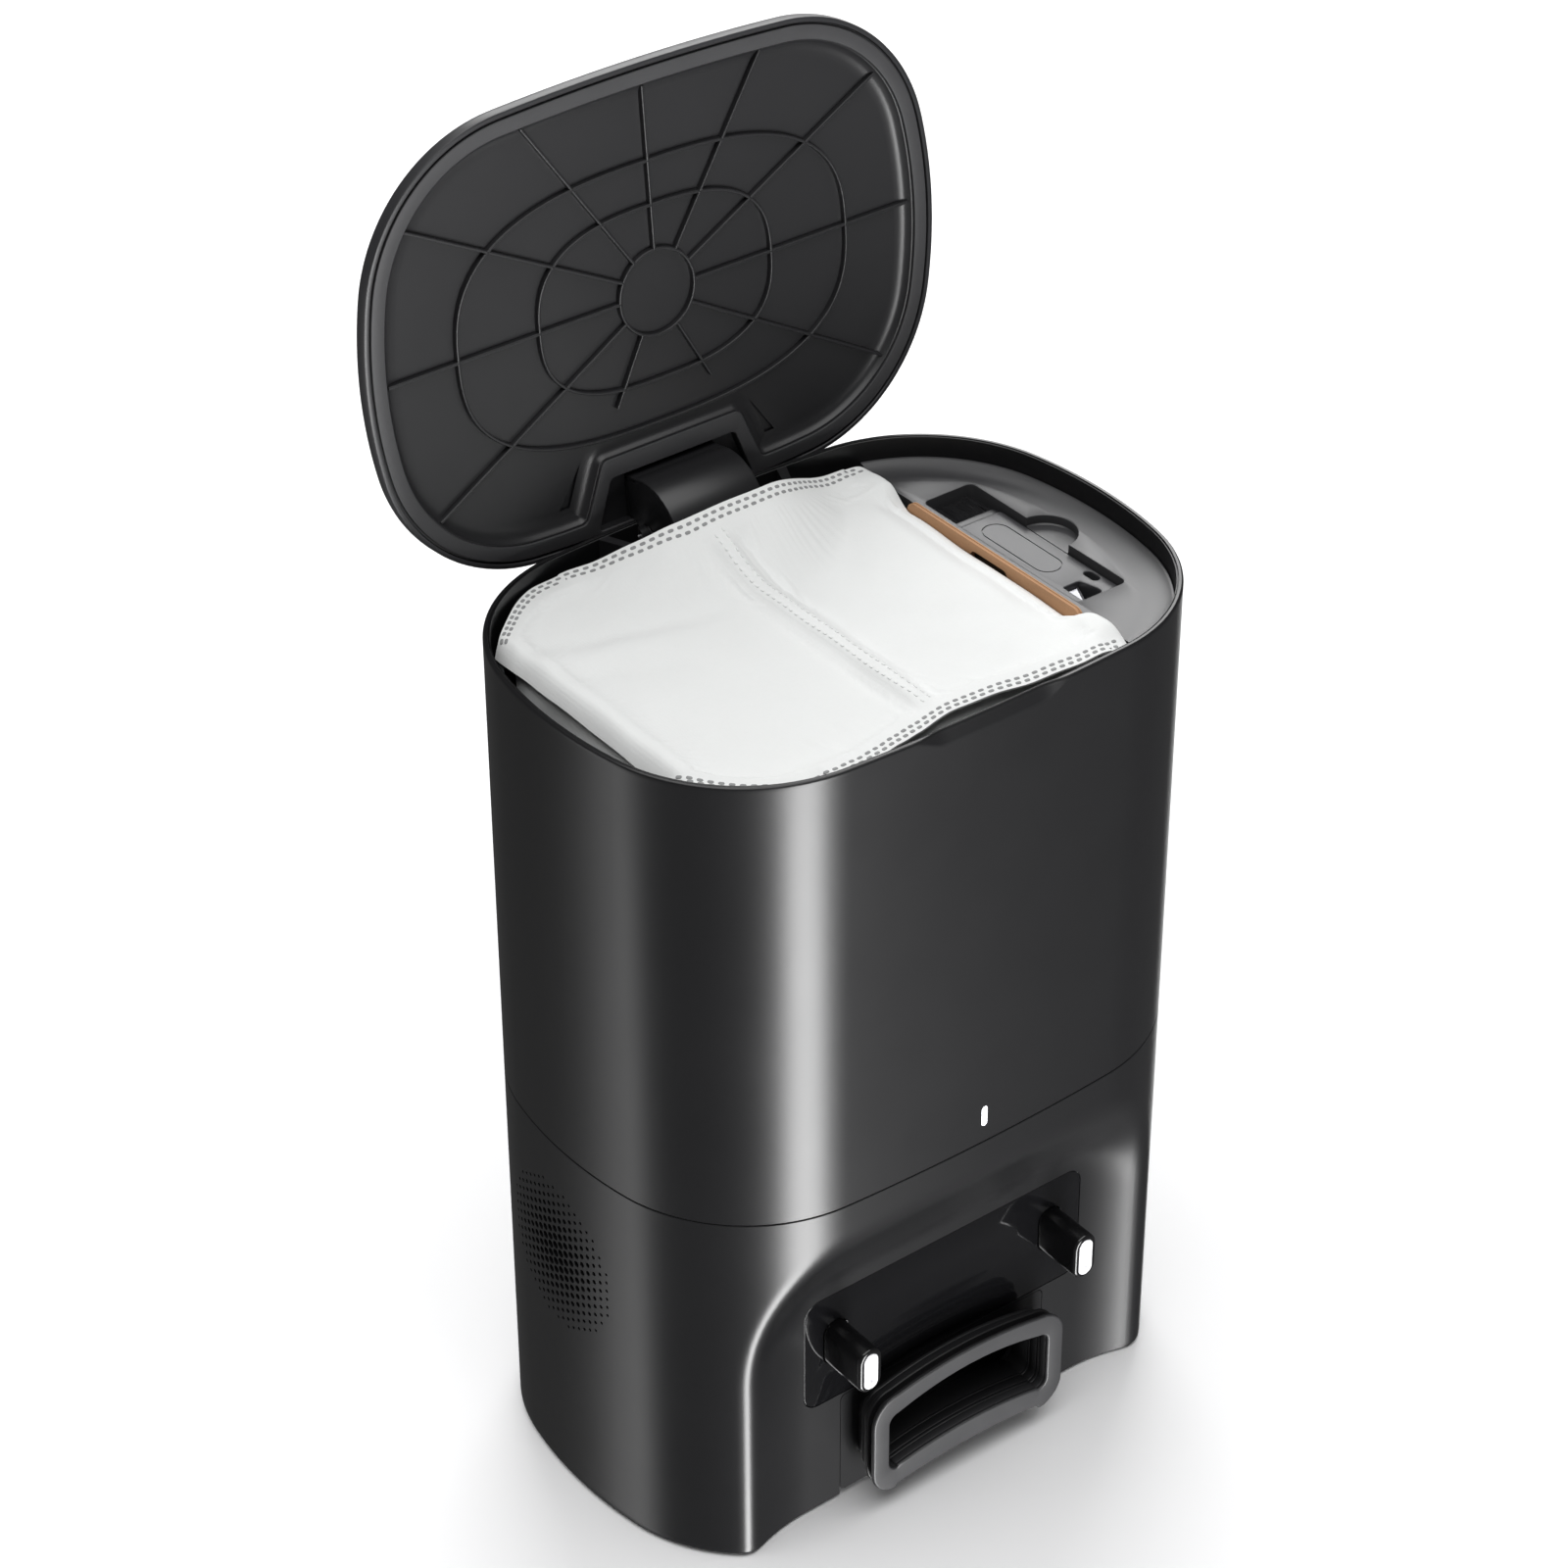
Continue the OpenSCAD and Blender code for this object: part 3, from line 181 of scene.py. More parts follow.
class Shader(Tree):
    """The node tree of a material, with the parts that most finishes share."""

    def __init__(self, name: str) -> None:
        """Starts a material of that name with one Principled shader.

        Args:
            name: the material's name.
        """
        self.material = bpy.data.materials.new(name)
        self.material.use_nodes = True
        super().__init__(self.material.node_tree)
        self.tree.nodes.clear()
        self.base = self.node("ShaderNodeBsdfPrincipled")
        end = self.node("ShaderNodeOutputMaterial")
        self.tree.links.new(self.base.outputs[0], end.inputs[0])
        self.place = self.node("ShaderNodeTexCoord").outputs["Object"]

    def set(self, **values: object) -> None:
        """Sets the Principled shader's sockets; underscores in a name stand for spaces."""
        for key, value in values.items():
            self.feed(self.base.inputs[key.replace("_", " ")], value)

    def noise(self, scale: float, detail: float = 2.0, rough: float = 0.5,
        stretch: Sequence[float] | None = None) -> Value:
        """Noise in object space, from 0 to 1.

        Args:
            scale: cells in one metre.
            detail: octaves.
            rough: how much the finer octaves count.
            stretch: scale along X, Y and Z, for fibres and brushing.

        Returns:
            The noise's value.
        """
        where = self.place
        if stretch:
            where = self.node("ShaderNodeMapping", {}, {"Vector": where, "Scale": stretch}).outputs[0]
        return self.out("ShaderNodeTexNoise", {},
            {"Vector": where, "Scale": scale, "Detail": detail, "Roughness": rough})

    def mix(self, factor: object, a: Sequence[float], b: Sequence[float]) -> bpy.types.NodeSocket:
        """Mixes two colours, or links to colours."""
        node = self.node("ShaderNodeMix", {"data_type": "RGBA"}, {0: factor, 6: a, 7: b})
        return node.outputs[2]

    def bump(self, height: Value, strength: float, distance: float) -> None:
        """Feeds a height to the shader's normal; distance is in metres."""
        node = self.node("ShaderNodeBump", {}, {"Height": height, "Strength": strength, "Distance": distance})
        self.tree.links.new(node.outputs[0], self.base.inputs["Normal"])


def rgba(colour: Sequence[float], gain: float = 1.0) -> tuple[float, float, float, float]:
    """A colour with full alpha, made lighter or darker by gain."""
    return tuple(min(1.0, c * gain) for c in colour) + (1.0,)


@dataclass(frozen=True)
class Finish:
    """A finish: a colour and a gloss, shown on every piece it dresses."""

    name: str
    slot: str
    colour: tuple[float, float, float]
    rough: float = 0.5

    def shade(self, shader: Shader) -> None:
        """Builds the nodes of this finish. Each kind of finish has its own."""
        raise NotImplementedError

    def material(self) -> bpy.types.Material:
        """The finish's material, made once.

        Returns:
            The material, new or found.
        """
        found = bpy.data.materials.get(self.name)
        if found is None:
            shader = Shader(self.name)
            self.shade(shader)
            found = shader.material
        return found


@dataclass(frozen=True)
class Moulded(Finish):
    """Moulded plastic: fine spark-eroded grain, faint flow marks and a satin or glossy skin."""

    grain: float = 0.35
    depth: float = 0.010
    specular: float = 0.5
    coat: float = 0.0
    coat_rough: float = 0.1
    mottle: float = 0.06

    def shade(self, shader: Shader) -> None:
        """Grain in the bump, flow marks in the colour and gloss.

        Args:
            shader: the material's tree.
        """
        grain = shader.noise(1000 / self.grain, 2.0, 0.55)
        flow = shader.noise(14.0, 3.0, 0.6)
        shader.set(
            Base_Color=shader.mix(flow, rgba(self.colour, 1 - self.mottle), rgba(self.colour, 1 + self.mottle)),
            Roughness=flow * 0.05 + (grain * 0.05 + (self.rough - 0.05)),
            Specular_IOR_Level=self.specular,
            Coat_Weight=self.coat,
            Coat_Roughness=self.coat_rough,
        )
        shader.bump(grain, 0.35, self.depth * MM * 3)


@dataclass(frozen=True)
class Rubbery(Finish):
    """Soft rubber: a dull skin with very fine pitting and a trace of dust."""

    specular: float = 0.4

    def shade(self, shader: Shader) -> None:
        """Pitting in the bump, dust in the colour.

        Args:
            shader: the material's tree.
        """
        pits = shader.noise(3800.0, 3.0, 0.6)
        dust = shader.noise(60.0, 4.0, 0.65)
        shader.set(
            Base_Color=shader.mix(dust, rgba(self.colour, 0.92), rgba(self.colour, 1.12)),
            Roughness=dust * 0.1 + (self.rough - 0.05),
            Specular_IOR_Level=self.specular,
        )
        shader.bump(pits, 0.4, 0.00004)


@dataclass(frozen=True)
class Metal(Finish):
    """Plated, ground or drawn metal, with fine marks along one direction."""

    along: tuple[float, float, float] = (1.0, 1.0, 12.0)
    marks: float = 0.12
    # Below 1 the base colour shows as diffuse colour; the contact plating uses this for a painted reflection.
    metallic: float = 1.0

    def shade(self, shader: Shader) -> None:
        """Fine marks in the gloss and the bump.

        Args:
            shader: the material's tree.
        """
        marks = shader.noise(900.0, 3.0, 0.6, self.along)
        shader.set(
            Base_Color=shader.mix(marks, rgba(self.colour, 0.95), rgba(self.colour, 1.04)),
            Metallic=self.metallic,
            Roughness=marks * self.marks + self.rough,
        )
        shader.bump(marks, 0.15, 0.00002)


@dataclass(frozen=True)
class Fleece(Finish):
    """Bonded non-woven fleece: long random fibres, small bonding dots and soft cloudiness."""

    dots: float = 1.35

    def shade(self, shader: Shader) -> None:
        """Fibres and bonding dots in the bump, cloudiness in the colour.

        Args:
            shader: the material's tree.
        """
        long_fibres = shader.noise(260.0, 5.0, 0.7, (1.0, 5.0, 1.0))
        cross_fibres = shader.noise(300.0, 5.0, 0.7, (5.0, 1.2, 1.0))
        cloud = shader.noise(36.0, 4.0, 0.6)
        cells = shader.out(
            "ShaderNodeTexVoronoi",
            {"feature": "F1"},
            {"Vector": shader.place, "Scale": 1000 / self.dots, "Randomness": 0.25},
        )
        web = long_fibres * 0.5 + cross_fibres * 0.5
        shader.set(
            Base_Color=shader.mix(web * 0.6 + cloud * 0.4, rgba(self.colour, 0.94), rgba(self.colour, 1.05)),
            Roughness=0.92,
            Specular_IOR_Level=0.25,
            Sheen_Weight=0.25,
            Sheen_Roughness=0.5,
        )
        shader.bump(web + cells * 0.35, 0.55, 0.00022)


@dataclass(frozen=True)
class Board(Finish):
    """Kraft board: brown pulp with darker flecks and a slight curl of grain."""

    def shade(self, shader: Shader) -> None:
        """Flecks and grain in the colour and the bump.

        Args:
            shader: the material's tree.
        """
        pulp = shader.noise(520.0, 5.0, 0.7, (1.0, 1.0, 4.0))
        stain = shader.noise(48.0, 3.0, 0.55)
        fleck = shader.noise(1500.0, 2.0, 0.5) > 0.66
        plain = shader.mix(pulp * 0.6 + stain * 0.4, rgba(self.colour, 0.78), rgba(self.colour, 1.22))
        shader.set(
            Base_Color=shader.mix(fleck * 0.35, plain, rgba(self.colour, 0.45)),
            Roughness=pulp * 0.1 + 0.78,
            Specular_IOR_Level=0.3,
        )
        shader.bump(pulp, 0.5, 0.00006)


@dataclass(frozen=True)
class Lamp(Finish):
    """A lit light guide."""

    power: float = 2.4

    def shade(self, shader: Shader) -> None:
        """An even white glow with a faint cloud in it.

        Args:
            shader: the material's tree.
        """
        cloud = shader.noise(700.0, 2.0, 0.5)
        shader.set(
            Base_Color=rgba(self.colour),
            Roughness=0.35,
            Emission_Color=shader.mix(cloud, rgba(self.colour, 0.96), rgba(self.colour)),
            Emission_Strength=self.power,
        )


@dataclass(frozen=True)
class Circuit(Finish):
    """Solder mask over copper tracks."""

    def shade(self, shader: Shader) -> None:
        """Tracks as cells under the green mask.

        Args:
            shader: the material's tree.
        """
        cells = shader.out("ShaderNodeTexVoronoi", {"feature": "DISTANCE_TO_EDGE"},
            {"Vector": shader.place, "Scale": 260.0})
        track = cells < 0.08
        shader.set(
            Base_Color=shader.mix(track, rgba(self.colour), rgba(self.colour, 1.9)),
            Roughness=0.35,
        )
        shader.bump(track, 0.3, 0.00004)


CASING = Moulded("casing_satin", "casing_plastic", (0.0062, 0.0062, 0.0068), 0.32, specular=0.45)
UNDERSIDE = Moulded("underside_matt", "underside_plastic", (0.018, 0.018, 0.019), 0.62, grain=0.6, depth=0.02)
LID_SKIN = Moulded("lid_satin", "lid_plastic", (0.022, 0.022, 0.024), 0.38, specular=0.42)
LID_INSIDE = Moulded("lid_inside_satin", "lid_inner_plastic", (0.015, 0.015, 0.0162), 0.36, specular=0.42)
HINGE = Moulded("hinge_satin", "hinge_plastic", (0.012, 0.012, 0.013), 0.33, specular=0.45)
GLOSS = Moulded("panel_gloss", "gloss_black", (0.004, 0.004, 0.0045), 0.09, grain=9.0, depth=0.0008, mottle=0.02)
ARM_BLACK = Moulded("arm_gloss", "arm_black", (0.005, 0.005, 0.0055), 0.20, grain=3.0, depth=0.002)
INNER = Moulded("inner_satin", "inner_plastic", (0.012, 0.012, 0.013), 0.42)
CHAMBER = Moulded("chamber_satin", "chamber_plastic", (0.028, 0.031, 0.031), 0.36)
DECK = Moulded("deck_satin", "deck_plastic", (0.034, 0.034, 0.036), 0.36, specular=0.5)
TOOL = Moulded("tool_satin", "tool_plastic", (0.034, 0.034, 0.037), 0.38)
INLET = Moulded("inlet_moulding", "inlet_black", (0.010, 0.010, 0.011), 0.45)
IMPELLER = Moulded("impeller_moulding", "impeller_plastic", (0.62, 0.62, 0.58), 0.45)
BAND = Rubbery("lid_band_rubber", "lid_band", (0.034, 0.034, 0.036), 0.52)
LIP = Rubbery("port_lip_rubber", "lip_rubber", (0.022, 0.022, 0.0235), 0.44, specular=0.5)
SEAL = Rubbery("seal_rubber_black", "seal_rubber", (0.04, 0.04, 0.042), 0.6)
FOOT = Rubbery("foot_rubber_black", "foot_rubber", (0.03, 0.03, 0.03), 0.7)
GASKET = Rubbery("gasket_blue_grey", "gasket_rubber", (0.20, 0.25, 0.31), 0.55)
# Contact plating, only partly metallic, with a near-white diffuse colour: painted reflection that stands in for the
# bright glint of a light on the plated tips.
CHROME_AND_PAINTED_SHINE = Metal("contact_plating", "contact_chrome", (0.90, 0.90, 0.92), 0.16, marks=0.06, metallic=0.35)
SPRING = Metal("spring_wire", "spring_steel", (0.60, 0.60, 0.62), 0.26)
SHAFT = Metal("ground_steel", "shaft_steel", (0.68, 0.68, 0.70), 0.18)
SCREW = Metal("zinc_plate", "screw_steel", (0.52, 0.52, 0.54), 0.32)
BLADE = Metal("blade_ground", "blade_steel", (0.30, 0.30, 0.32), 0.34, along=(10.0, 1.0, 1.0))
MOTOR = Metal("cast_alloy", "motor_metal", (0.50, 0.50, 0.52), 0.42, along=(1.0, 1.0, 1.0))
FLEECE = Fleece("bag_fleece_white", "bag_fleece", (0.74, 0.75, 0.743))
WELD = Fleece("weld_pressed", "bag_fleece", (0.26, 0.265, 0.265), dots=0.8)
# The filter's near-black colour is painted shade: it stands for the shade inside the exhaust holes, through which
# the filter shows.
FILTER_PAINTED_SHADE = Fleece("filter_charcoal", "filter_paper", (0.03, 0.03, 0.032))
FOAM = Fleece("filter_foam_grey", "filter_foam", (0.09, 0.09, 0.10), dots=2.2)
KRAFT = Board("kraft_board", "collar_board", (0.42, 0.235, 0.125))
LAMP = Lamp("status_lamp", "lamp_white", (0.95, 0.96, 1.0))
BOARD = Circuit("circuit_green", "board_green", (0.02, 0.12, 0.05))
BRISTLE = Moulded("bristle_nylon", "bristle_black", (0.007, 0.007, 0.008), 0.36, grain=0.2)


# ---- Meshes ----------------------------------------------------------------------
def piece_of(name: str, verts: np.ndarray, faces: Sequence[Sequence[int]], sharp: float = 34.0) -> bpy.types.Object:
    """Makes an object from millimetre points.

    Args:
        name: the piece's name.
        verts: points, one row each.
        faces: indices of each face's points.
        sharp: edges bent more than this many degrees stay sharp.

    Returns:
        The object, linked to the scene.
    """
    mesh = bpy.data.meshes.new(name)
    mesh.from_pydata((np.asarray(verts, float) * MM).tolist(), [], [list(map(int, f)) for f in faces])
    mesh.validate()
    piece = bpy.data.objects.new(name, mesh)
    bpy.context.scene.collection.objects.link(piece)
    soften(piece, sharp)
    return piece


def soften(piece: bpy.types.Object, sharp: float = 34.0) -> None:
    """Shades a piece smooth, apart from edges bent more than sharp degrees."""
    piece.data.shade_smooth()
    piece.data.set_sharp_from_angle(angle=math.radians(sharp))


def settle(piece: bpy.types.Object, sharp: float | None = 34.0) -> bpy.types.Object:
    """Applies a piece's modifiers to a plain mesh and removes them.

    Args:
        piece: the piece.
        sharp: edges bent more than this many degrees stay sharp; None keeps the shading.

    Returns:
        The same piece.
    """
    bpy.context.view_layer.update()
    shape = piece.evaluated_get(bpy.context.evaluated_depsgraph_get())
    mesh = bpy.data.meshes.new_from_object(shape)
    piece.modifiers.clear()
    old, piece.data = piece.data, mesh
    mesh.name = piece.name
    bpy.data.meshes.remove(old)
    if sharp is not None:
        soften(piece, sharp)
    return piece


def remove(*pieces: bpy.types.Object) -> None:
    """Deletes helper objects."""
    for piece in pieces:
        bpy.data.objects.remove(piece)


def merged(name: str, pieces: Sequence[bpy.types.Object], sharp: float = 34.0) -> bpy.types.Object:
    """Joins pieces into one object of that name.

    Args:
        name: the new piece's name.
        pieces: the pieces, which are removed.
        sharp: edges bent more than this many degrees stay sharp.

    Returns:
        The object.
    """
    verts, faces, start = [], [], 0
    for piece in pieces:
        verts += [tuple(v.co / MM) for v in piece.data.vertices]
        faces += [[start + i for i in p.vertices] for p in piece.data.polygons]
        start = len(verts)
    remove(*pieces)
    return piece_of(name, np.array(verts), faces, sharp)


def quads(rows: int, columns: int, wrap_rows: bool = False, wrap_columns: bool = True) -> list[list[int]]:
    """Faces of a grid of points, numbered row by row.

    Args:
        rows: rows of points.
        columns: points in a row.
        wrap_rows: the last row meets the first.
        wrap_columns: each row is a ring.

    Returns:
        Point indices of each face.
    """
    faces = []
    for i in range(rows if wrap_rows else rows - 1):
        for j in range(columns if wrap_columns else columns - 1):
            a, b = i * columns, ((i + 1) % rows) * columns
            k = (j + 1) % columns
            faces.append([a + j, a + k, b + k, b + j])
    return faces


def loft(name: str, rings: Sequence[np.ndarray], closed: bool = True, sharp: float = 34.0) -> bpy.types.Object:
    """Joins rings of points into a skin.

    Args:
        name: the piece's name.
        rings: rings with the same number of points, in order along the profile.
        closed: the last ring meets the first; otherwise both ends are capped.
        sharp: edges bent more than this many degrees stay sharp.

    Returns:
        The object.
    """
    count = len(rings[0])
    faces = quads(len(rings), count, wrap_rows=closed)
    if not closed:
        faces.append(list(range(count))[::-1])
        faces.append([(len(rings) - 1) * count + j for j in range(count)])
    return piece_of(name, np.concatenate(rings), faces, sharp)


def offset(loop: Loop, distance: float) -> Loop:
    """Moves a loop along its outward normals; a loop that runs anticlockwise grows.

    Args:
        loop: the loop.
        distance: how far each side moves.

    Returns:
        The moved loop.
    """
    before, after = loop - np.roll(loop, 1, 0), np.roll(loop, -1, 0) - loop
    before /= np.linalg.norm(before, axis=1)[:, None] + 1e-12
    after /= np.linalg.norm(after, axis=1)[:, None] + 1e-12
    n1 = np.stack([before[:, 1], -before[:, 0]], 1)
    n2 = np.stack([after[:, 1], -after[:, 0]], 1)
    n = (n1 + n2) / (1 + (n1 * n2).sum(1))[:, None].clip(0.25)
    return loop + distance * n


def anticlockwise(loop: Loop) -> Loop:
    """The loop, turned so that it runs anticlockwise.

    Args:
        loop: a loop either way round.

    Returns:
        The loop, or the loop reversed.
    """
    x, y = loop[:, 0], loop[:, 1]
    area = (x * np.roll(y, -1) - y * np.roll(x, -1)).sum()
    return loop if area > 0 else loop[::-1]


def fill(loops: Sequence[Loop]) -> list[list[int]]:
    """Triangles that fill an outline and leave out its holes; indices run through all loops.

    Args:
        loops: the outline, then its holes.

    Returns:
        Three point indices of each triangle.
    """
    points = np.concatenate(loops)
    edges, start = [], 0
    for loop in loops:
        n = len(loop)
        edges += [(start + i, start + (i + 1) % n) for i in range(n)]
        start += n
    _, _, faces, origins, _, _ = delaunay_2d_cdt([Vector(p) for p in points.tolist()], edges, [], 1, 1e-7)
    tris = np.array([[origins[i][0] for i in face] for face in faces if all(origins[i] for i in face)])
    mid = points[tris].mean(1)
    inside = np.zeros(len(mid), bool)
    for loop in loops:
        for (x0, y0), (x1, y1) in zip(loop, np.roll(loop, -1, 0)):
            if y0 != y1:
                inside ^= ((y0 > mid[:, 1]) != (y1 > mid[:, 1])) & (mid[:,
                    0] < (x1 - x0) * (mid[:, 1] - y0) / (y1 - y0) + x0)
    return tris[inside].tolist()


class Facing(Enum):
    """Which way a plate's own X, Y and thickness lie in the row frame."""

    UP = Matrix(((1, 0, 0), (0, 1, 0), (0, 0, 1)))
    FORWARD = Matrix(((1, 0, 0), (0, 0, -1), (0, 1, 0)))
    RIGHT = Matrix(((0, 0, 1), (1, 0, 0), (0, 1, 0)))


def plate(name: str, loops: Sequence[Loop], low: float, high: float, edge: float = 0.3,
    facing: Facing = Facing.UP, steps: int = 3, sharp: float = 34.0) -> bpy.types.Object:
    """A plate with rounded edges.

    Args:
        name: the piece's name.
        loops: the outline, then its holes, in the plate's own X and Y.
        low: where its lower face is, along its thickness.
        high: where its upper face is.
        edge: radius of its edges.
        facing: how it lies.
        steps: segments of each rounded edge.
        sharp: edges bent more than this many degrees stay sharp.

    Returns:
        The object.
    """
    turned = [anticlockwise(np.asarray(loop, float))[::-1 if i else 1] for i, loop in enumerate(loops)]
    if facing is Facing.FORWARD:
        low, high = -high, -low
    bends = [math.pi / 2 * k / steps for k in range(steps + 1)]
    profile = [(-edge * (1 - math.sin(b)), low + edge * (1 - math.cos(b))) for b in bends]
    profile += [(-edge * (1 - math.sin(b)), high - edge * (1 - math.cos(b))) for b in reversed(bends)]
    verts, faces, start, low_index, high_index = [], [], 0, [], []
    for loop in turned:
        n = len(loop)
        for back, z in profile:
            verts.append(np.column_stack([offset(loop, back), np.full(n, z)]))
        faces += [[start + i for i in f] for f in quads(len(profile), n)]
        low_index += list(range(start, start + n))
        high_index += list(range(start + (len(profile) - 1) * n, start + len(profile) * n))
        start += len(profile) * n
    drawn_in = [offset(loop, -edge) for loop in turned]
    points = np.concatenate(drawn_in)
    for tri in fill(drawn_in):
        a, b, c = (points[i] for i in tri)
        if np.cross(b - a, c - a) < 0:
            tri = tri[::-1]
        faces.append([high_index[i] for i in tri])
        faces.append([low_index[i] for i in tri[::-1]])
    turn = np.array(facing.value, float)
    return piece_of(name, np.concatenate(verts) @ turn.T, faces, sharp)


def cut(piece: bpy.types.Object, *cutters: bpy.types.Object) -> bpy.types.Object:
    """Takes the cutters' shapes out of a piece, and removes the cutters.

    Args:
        piece: the piece.
        cutters: closed shapes to take out.

    Returns:
        The same piece.
    """
    for cutter in cutters:
        step = piece.modifiers.new("cut", "BOOLEAN")
        step.operation, step.solver, step.object = "DIFFERENCE", "EXACT", cutter
    settle(piece)
    remove(*cutters)
    return piece


def arc(centre: Sequence[float], radius: float, start: float, end: float, steps: int) -> Loop:
    """Points of an arc, in degrees, both ends included."""
    a = np.radians(np.linspace(start, end, steps + 1))
    return np.column_stack([centre[0] + radius * np.cos(a), centre[1] + radius * np.sin(a)])


def round_box(x0: float, y0: float, x1: float, y1: float, r: float, steps: int = 8) -> Loop:
    """A rectangle with round corners.

    Args:
        x0: left side.
        y0: lower side.
        x1: right side.
        y1: upper side.
        r: radius of the corners.
        steps: segments of each corner.

    Returns:
        The loop, anticlockwise.
    """
    return np.concatenate([
        arc((x1 - r, y0 + r), r, -90, 0, steps), arc((x1 - r, y1 - r), r, 0, 90, steps),
        arc((x0 + r, y1 - r), r, 90, 180, steps), arc((x0 + r, y0 + r), r, 180, 270, steps),
    ])


def stadium(width: float, height: float, x: float = 0.0, y: float = 0.0) -> Loop:
    """A bar with round ends, centred on a point."""
    w, h = width / 2, height / 2
    return round_box(x - w, y - h, x + w, y + h, min(w, h) - 0.01, 10)


def rounded(points: Sequence[tuple[float, float, float]], steps: int = 8) -> Loop:
    """A polygon whose corners are rounded, each by its own radius: points are (x, y, radius).

    Args:
        points: x, y and corner radius of each point.
        steps: segments of each corner.

    Returns:
        The loop.
    """
    out, n = [], len(points)
    for i, (x, y, r) in enumerate(points):
        p = np.array([x, y])
        if r <= 0:
            out.append(p)
            continue
        a, b = (np.array(points[k][:2]) - p for k in ((i - 1) % n, (i + 1) % n))
        a, b = a / np.linalg.norm(a), b / np.linalg.norm(b)
        half = math.acos(float(np.clip(a @ b, -1, 1))) / 2
        reach = r / math.tan(half)
        centre = p + (a + b) / np.linalg.norm(a + b) * r / math.sin(half)
        p0, p1 = p + a * reach - centre, p + b * reach - centre
        t0, t1 = math.atan2(p0[1], p0[0]), math.atan2(p1[1], p1[0])
        turn = (t1 - t0 + math.pi) % (2 * math.pi) - math.pi
        out += [centre + r * np.array([math.cos(t0 + turn * k / steps), math.sin(t0 + turn * k / steps)])
            for k in range(steps + 1)]
    return np.array(out)


@dataclass(frozen=True)
class Oval:
    """The body's plan: four large arcs joined by four corner arcs."""

    half_w: float = 145.0
    half_d: float = 102.5
    corner_r: float = 76.0
    side_r: float = 202.0
    face_r: float = 1120.0

    def _arcs(self) -> tuple[np.ndarray, np.ndarray, np.ndarray, float, float]:
        """Centres of the side, face and corner arcs, and the two angles where they meet.

        Returns:
            The three centres and the two angles.
        """
        side, face = np.array([self.half_w - self.side_r, 0.0]), np.array([0.0, self.half_d - self.face_r])
        r1, r2 = self.side_r - self.corner_r, self.face_r - self.corner_r
        gap = face - side
        d = float(np.linalg.norm(gap))
        u = (r1 * r1 - r2 * r2 + d * d) / (2 * d)
        e = gap / d
        corner = side + u * e + math.sqrt(r1 * r1 - u * u) * np.array([-e[1], e[0]])
        a0 = math.atan2(corner[1] - side[1], corner[0] - side[0])
        a1 = math.atan2(corner[1] - face[1], corner[0] - face[0])
        return side, face, corner, a0, a1

    def at(self, angles: np.ndarray, inset: float | np.ndarray = 0.0) -> Loop:
        """Points whose outward normal has the given angles, moved inwards by inset.

        Args:
            angles: angles of the outward normals.
            inset: one distance, or one for each angle.

        Returns:
            One point for each angle.
        """
        side, face, corner, a0, a1 = self._arcs()
        c, s = np.cos(angles), np.sin(angles)
        q = np.arctan2(np.abs(s), np.abs(c))
        centre = np.where((q < a0)[:, None], side, np.where((q > a1)[:, None], face, corner))
        radius = np.where(q < a0, self.side_r, np.where(q > a1, self.face_r, self.corner_r)) - inset
        sign = np.stack([np.where(c >= 0, 1, -1), np.where(s >= 0, 1, -1)], 1)
        return (centre + radius[:, None] * np.stack([np.abs(c), np.abs(s)], 1)) * sign

    def angles(self, side: int = 8, corner: int = 26, face: int = 12) -> np.ndarray:
        """Normal angles all the way round, anticlockwise from +X.

        Args:
            side: points of half a side arc.
            corner: points of a corner arc.
            face: points of half a face arc.

        Returns:
            The angles in radians.
        """
        _, _, _, a0, a1 = self._arcs()
        q = np.concatenate([
            np.linspace(0, a0, side, endpoint=False), np.linspace(a0, a1, corner, endpoint=False),
            np.linspace(a1, math.pi / 2, face, endpoint=False),
        ])
        half = np.concatenate([q, [math.pi / 2], math.pi - q[:0:-1]])
        return np.concatenate([half, half + math.pi])

    def rings(self, profile: Iterable[tuple[float, float]], angles: np.ndarray | None = None) -> list[np.ndarray]:
        """Rings of points for a profile of (inset, height) pairs."""
        angles = self.angles() if angles is None else angles
        return [np.column_stack([self.at(angles, t), np.full(len(angles), z)]) for t, z in profile]


PLAN = Oval()


def dress(piece: bpy.types.Object, finish: Finish) -> bpy.types.Object:
    """Gives a piece one finish.

    Args:
        piece: the piece.
        finish: its finish.

    Returns:
        The same piece.
    """
    piece.data.materials.clear()
    piece.data.materials.append(finish.material())
    return piece


def mount(piece: bpy.types.Object, finish: Finish, body: str, *nodes: str) -> bpy.types.Object:
    """Dresses a piece, puts it on its body and lets it stand for its CAD nodes.

    Args:
        piece: the finished piece.
        finish: its finish.
        body: the CAD body that carries it.
        nodes: the CAD nodes that it stands for.

    Returns:
        The piece.
    """
    dress(piece, finish)
    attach(piece, body)
    if nodes:
        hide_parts(*nodes)
    log.info("%s: %d faces on %s, for %s", piece.name, len(piece.data.polygons), body, ", ".join(nodes)
        or "no node")
    return piece


def dress_nodes(finish: Finish, *names: str) -> None:
    """Gives CAD nodes that keep their own shape a finish.

    Args:
        finish: the finish.
        names: names of the CAD nodes.
    """
    for name in names:
        node = frame["nodes"][name]
        if not node.material_slots:
            node.data.materials.append(finish.material())
        for slot in node.material_slots:
            slot.material = finish.material()


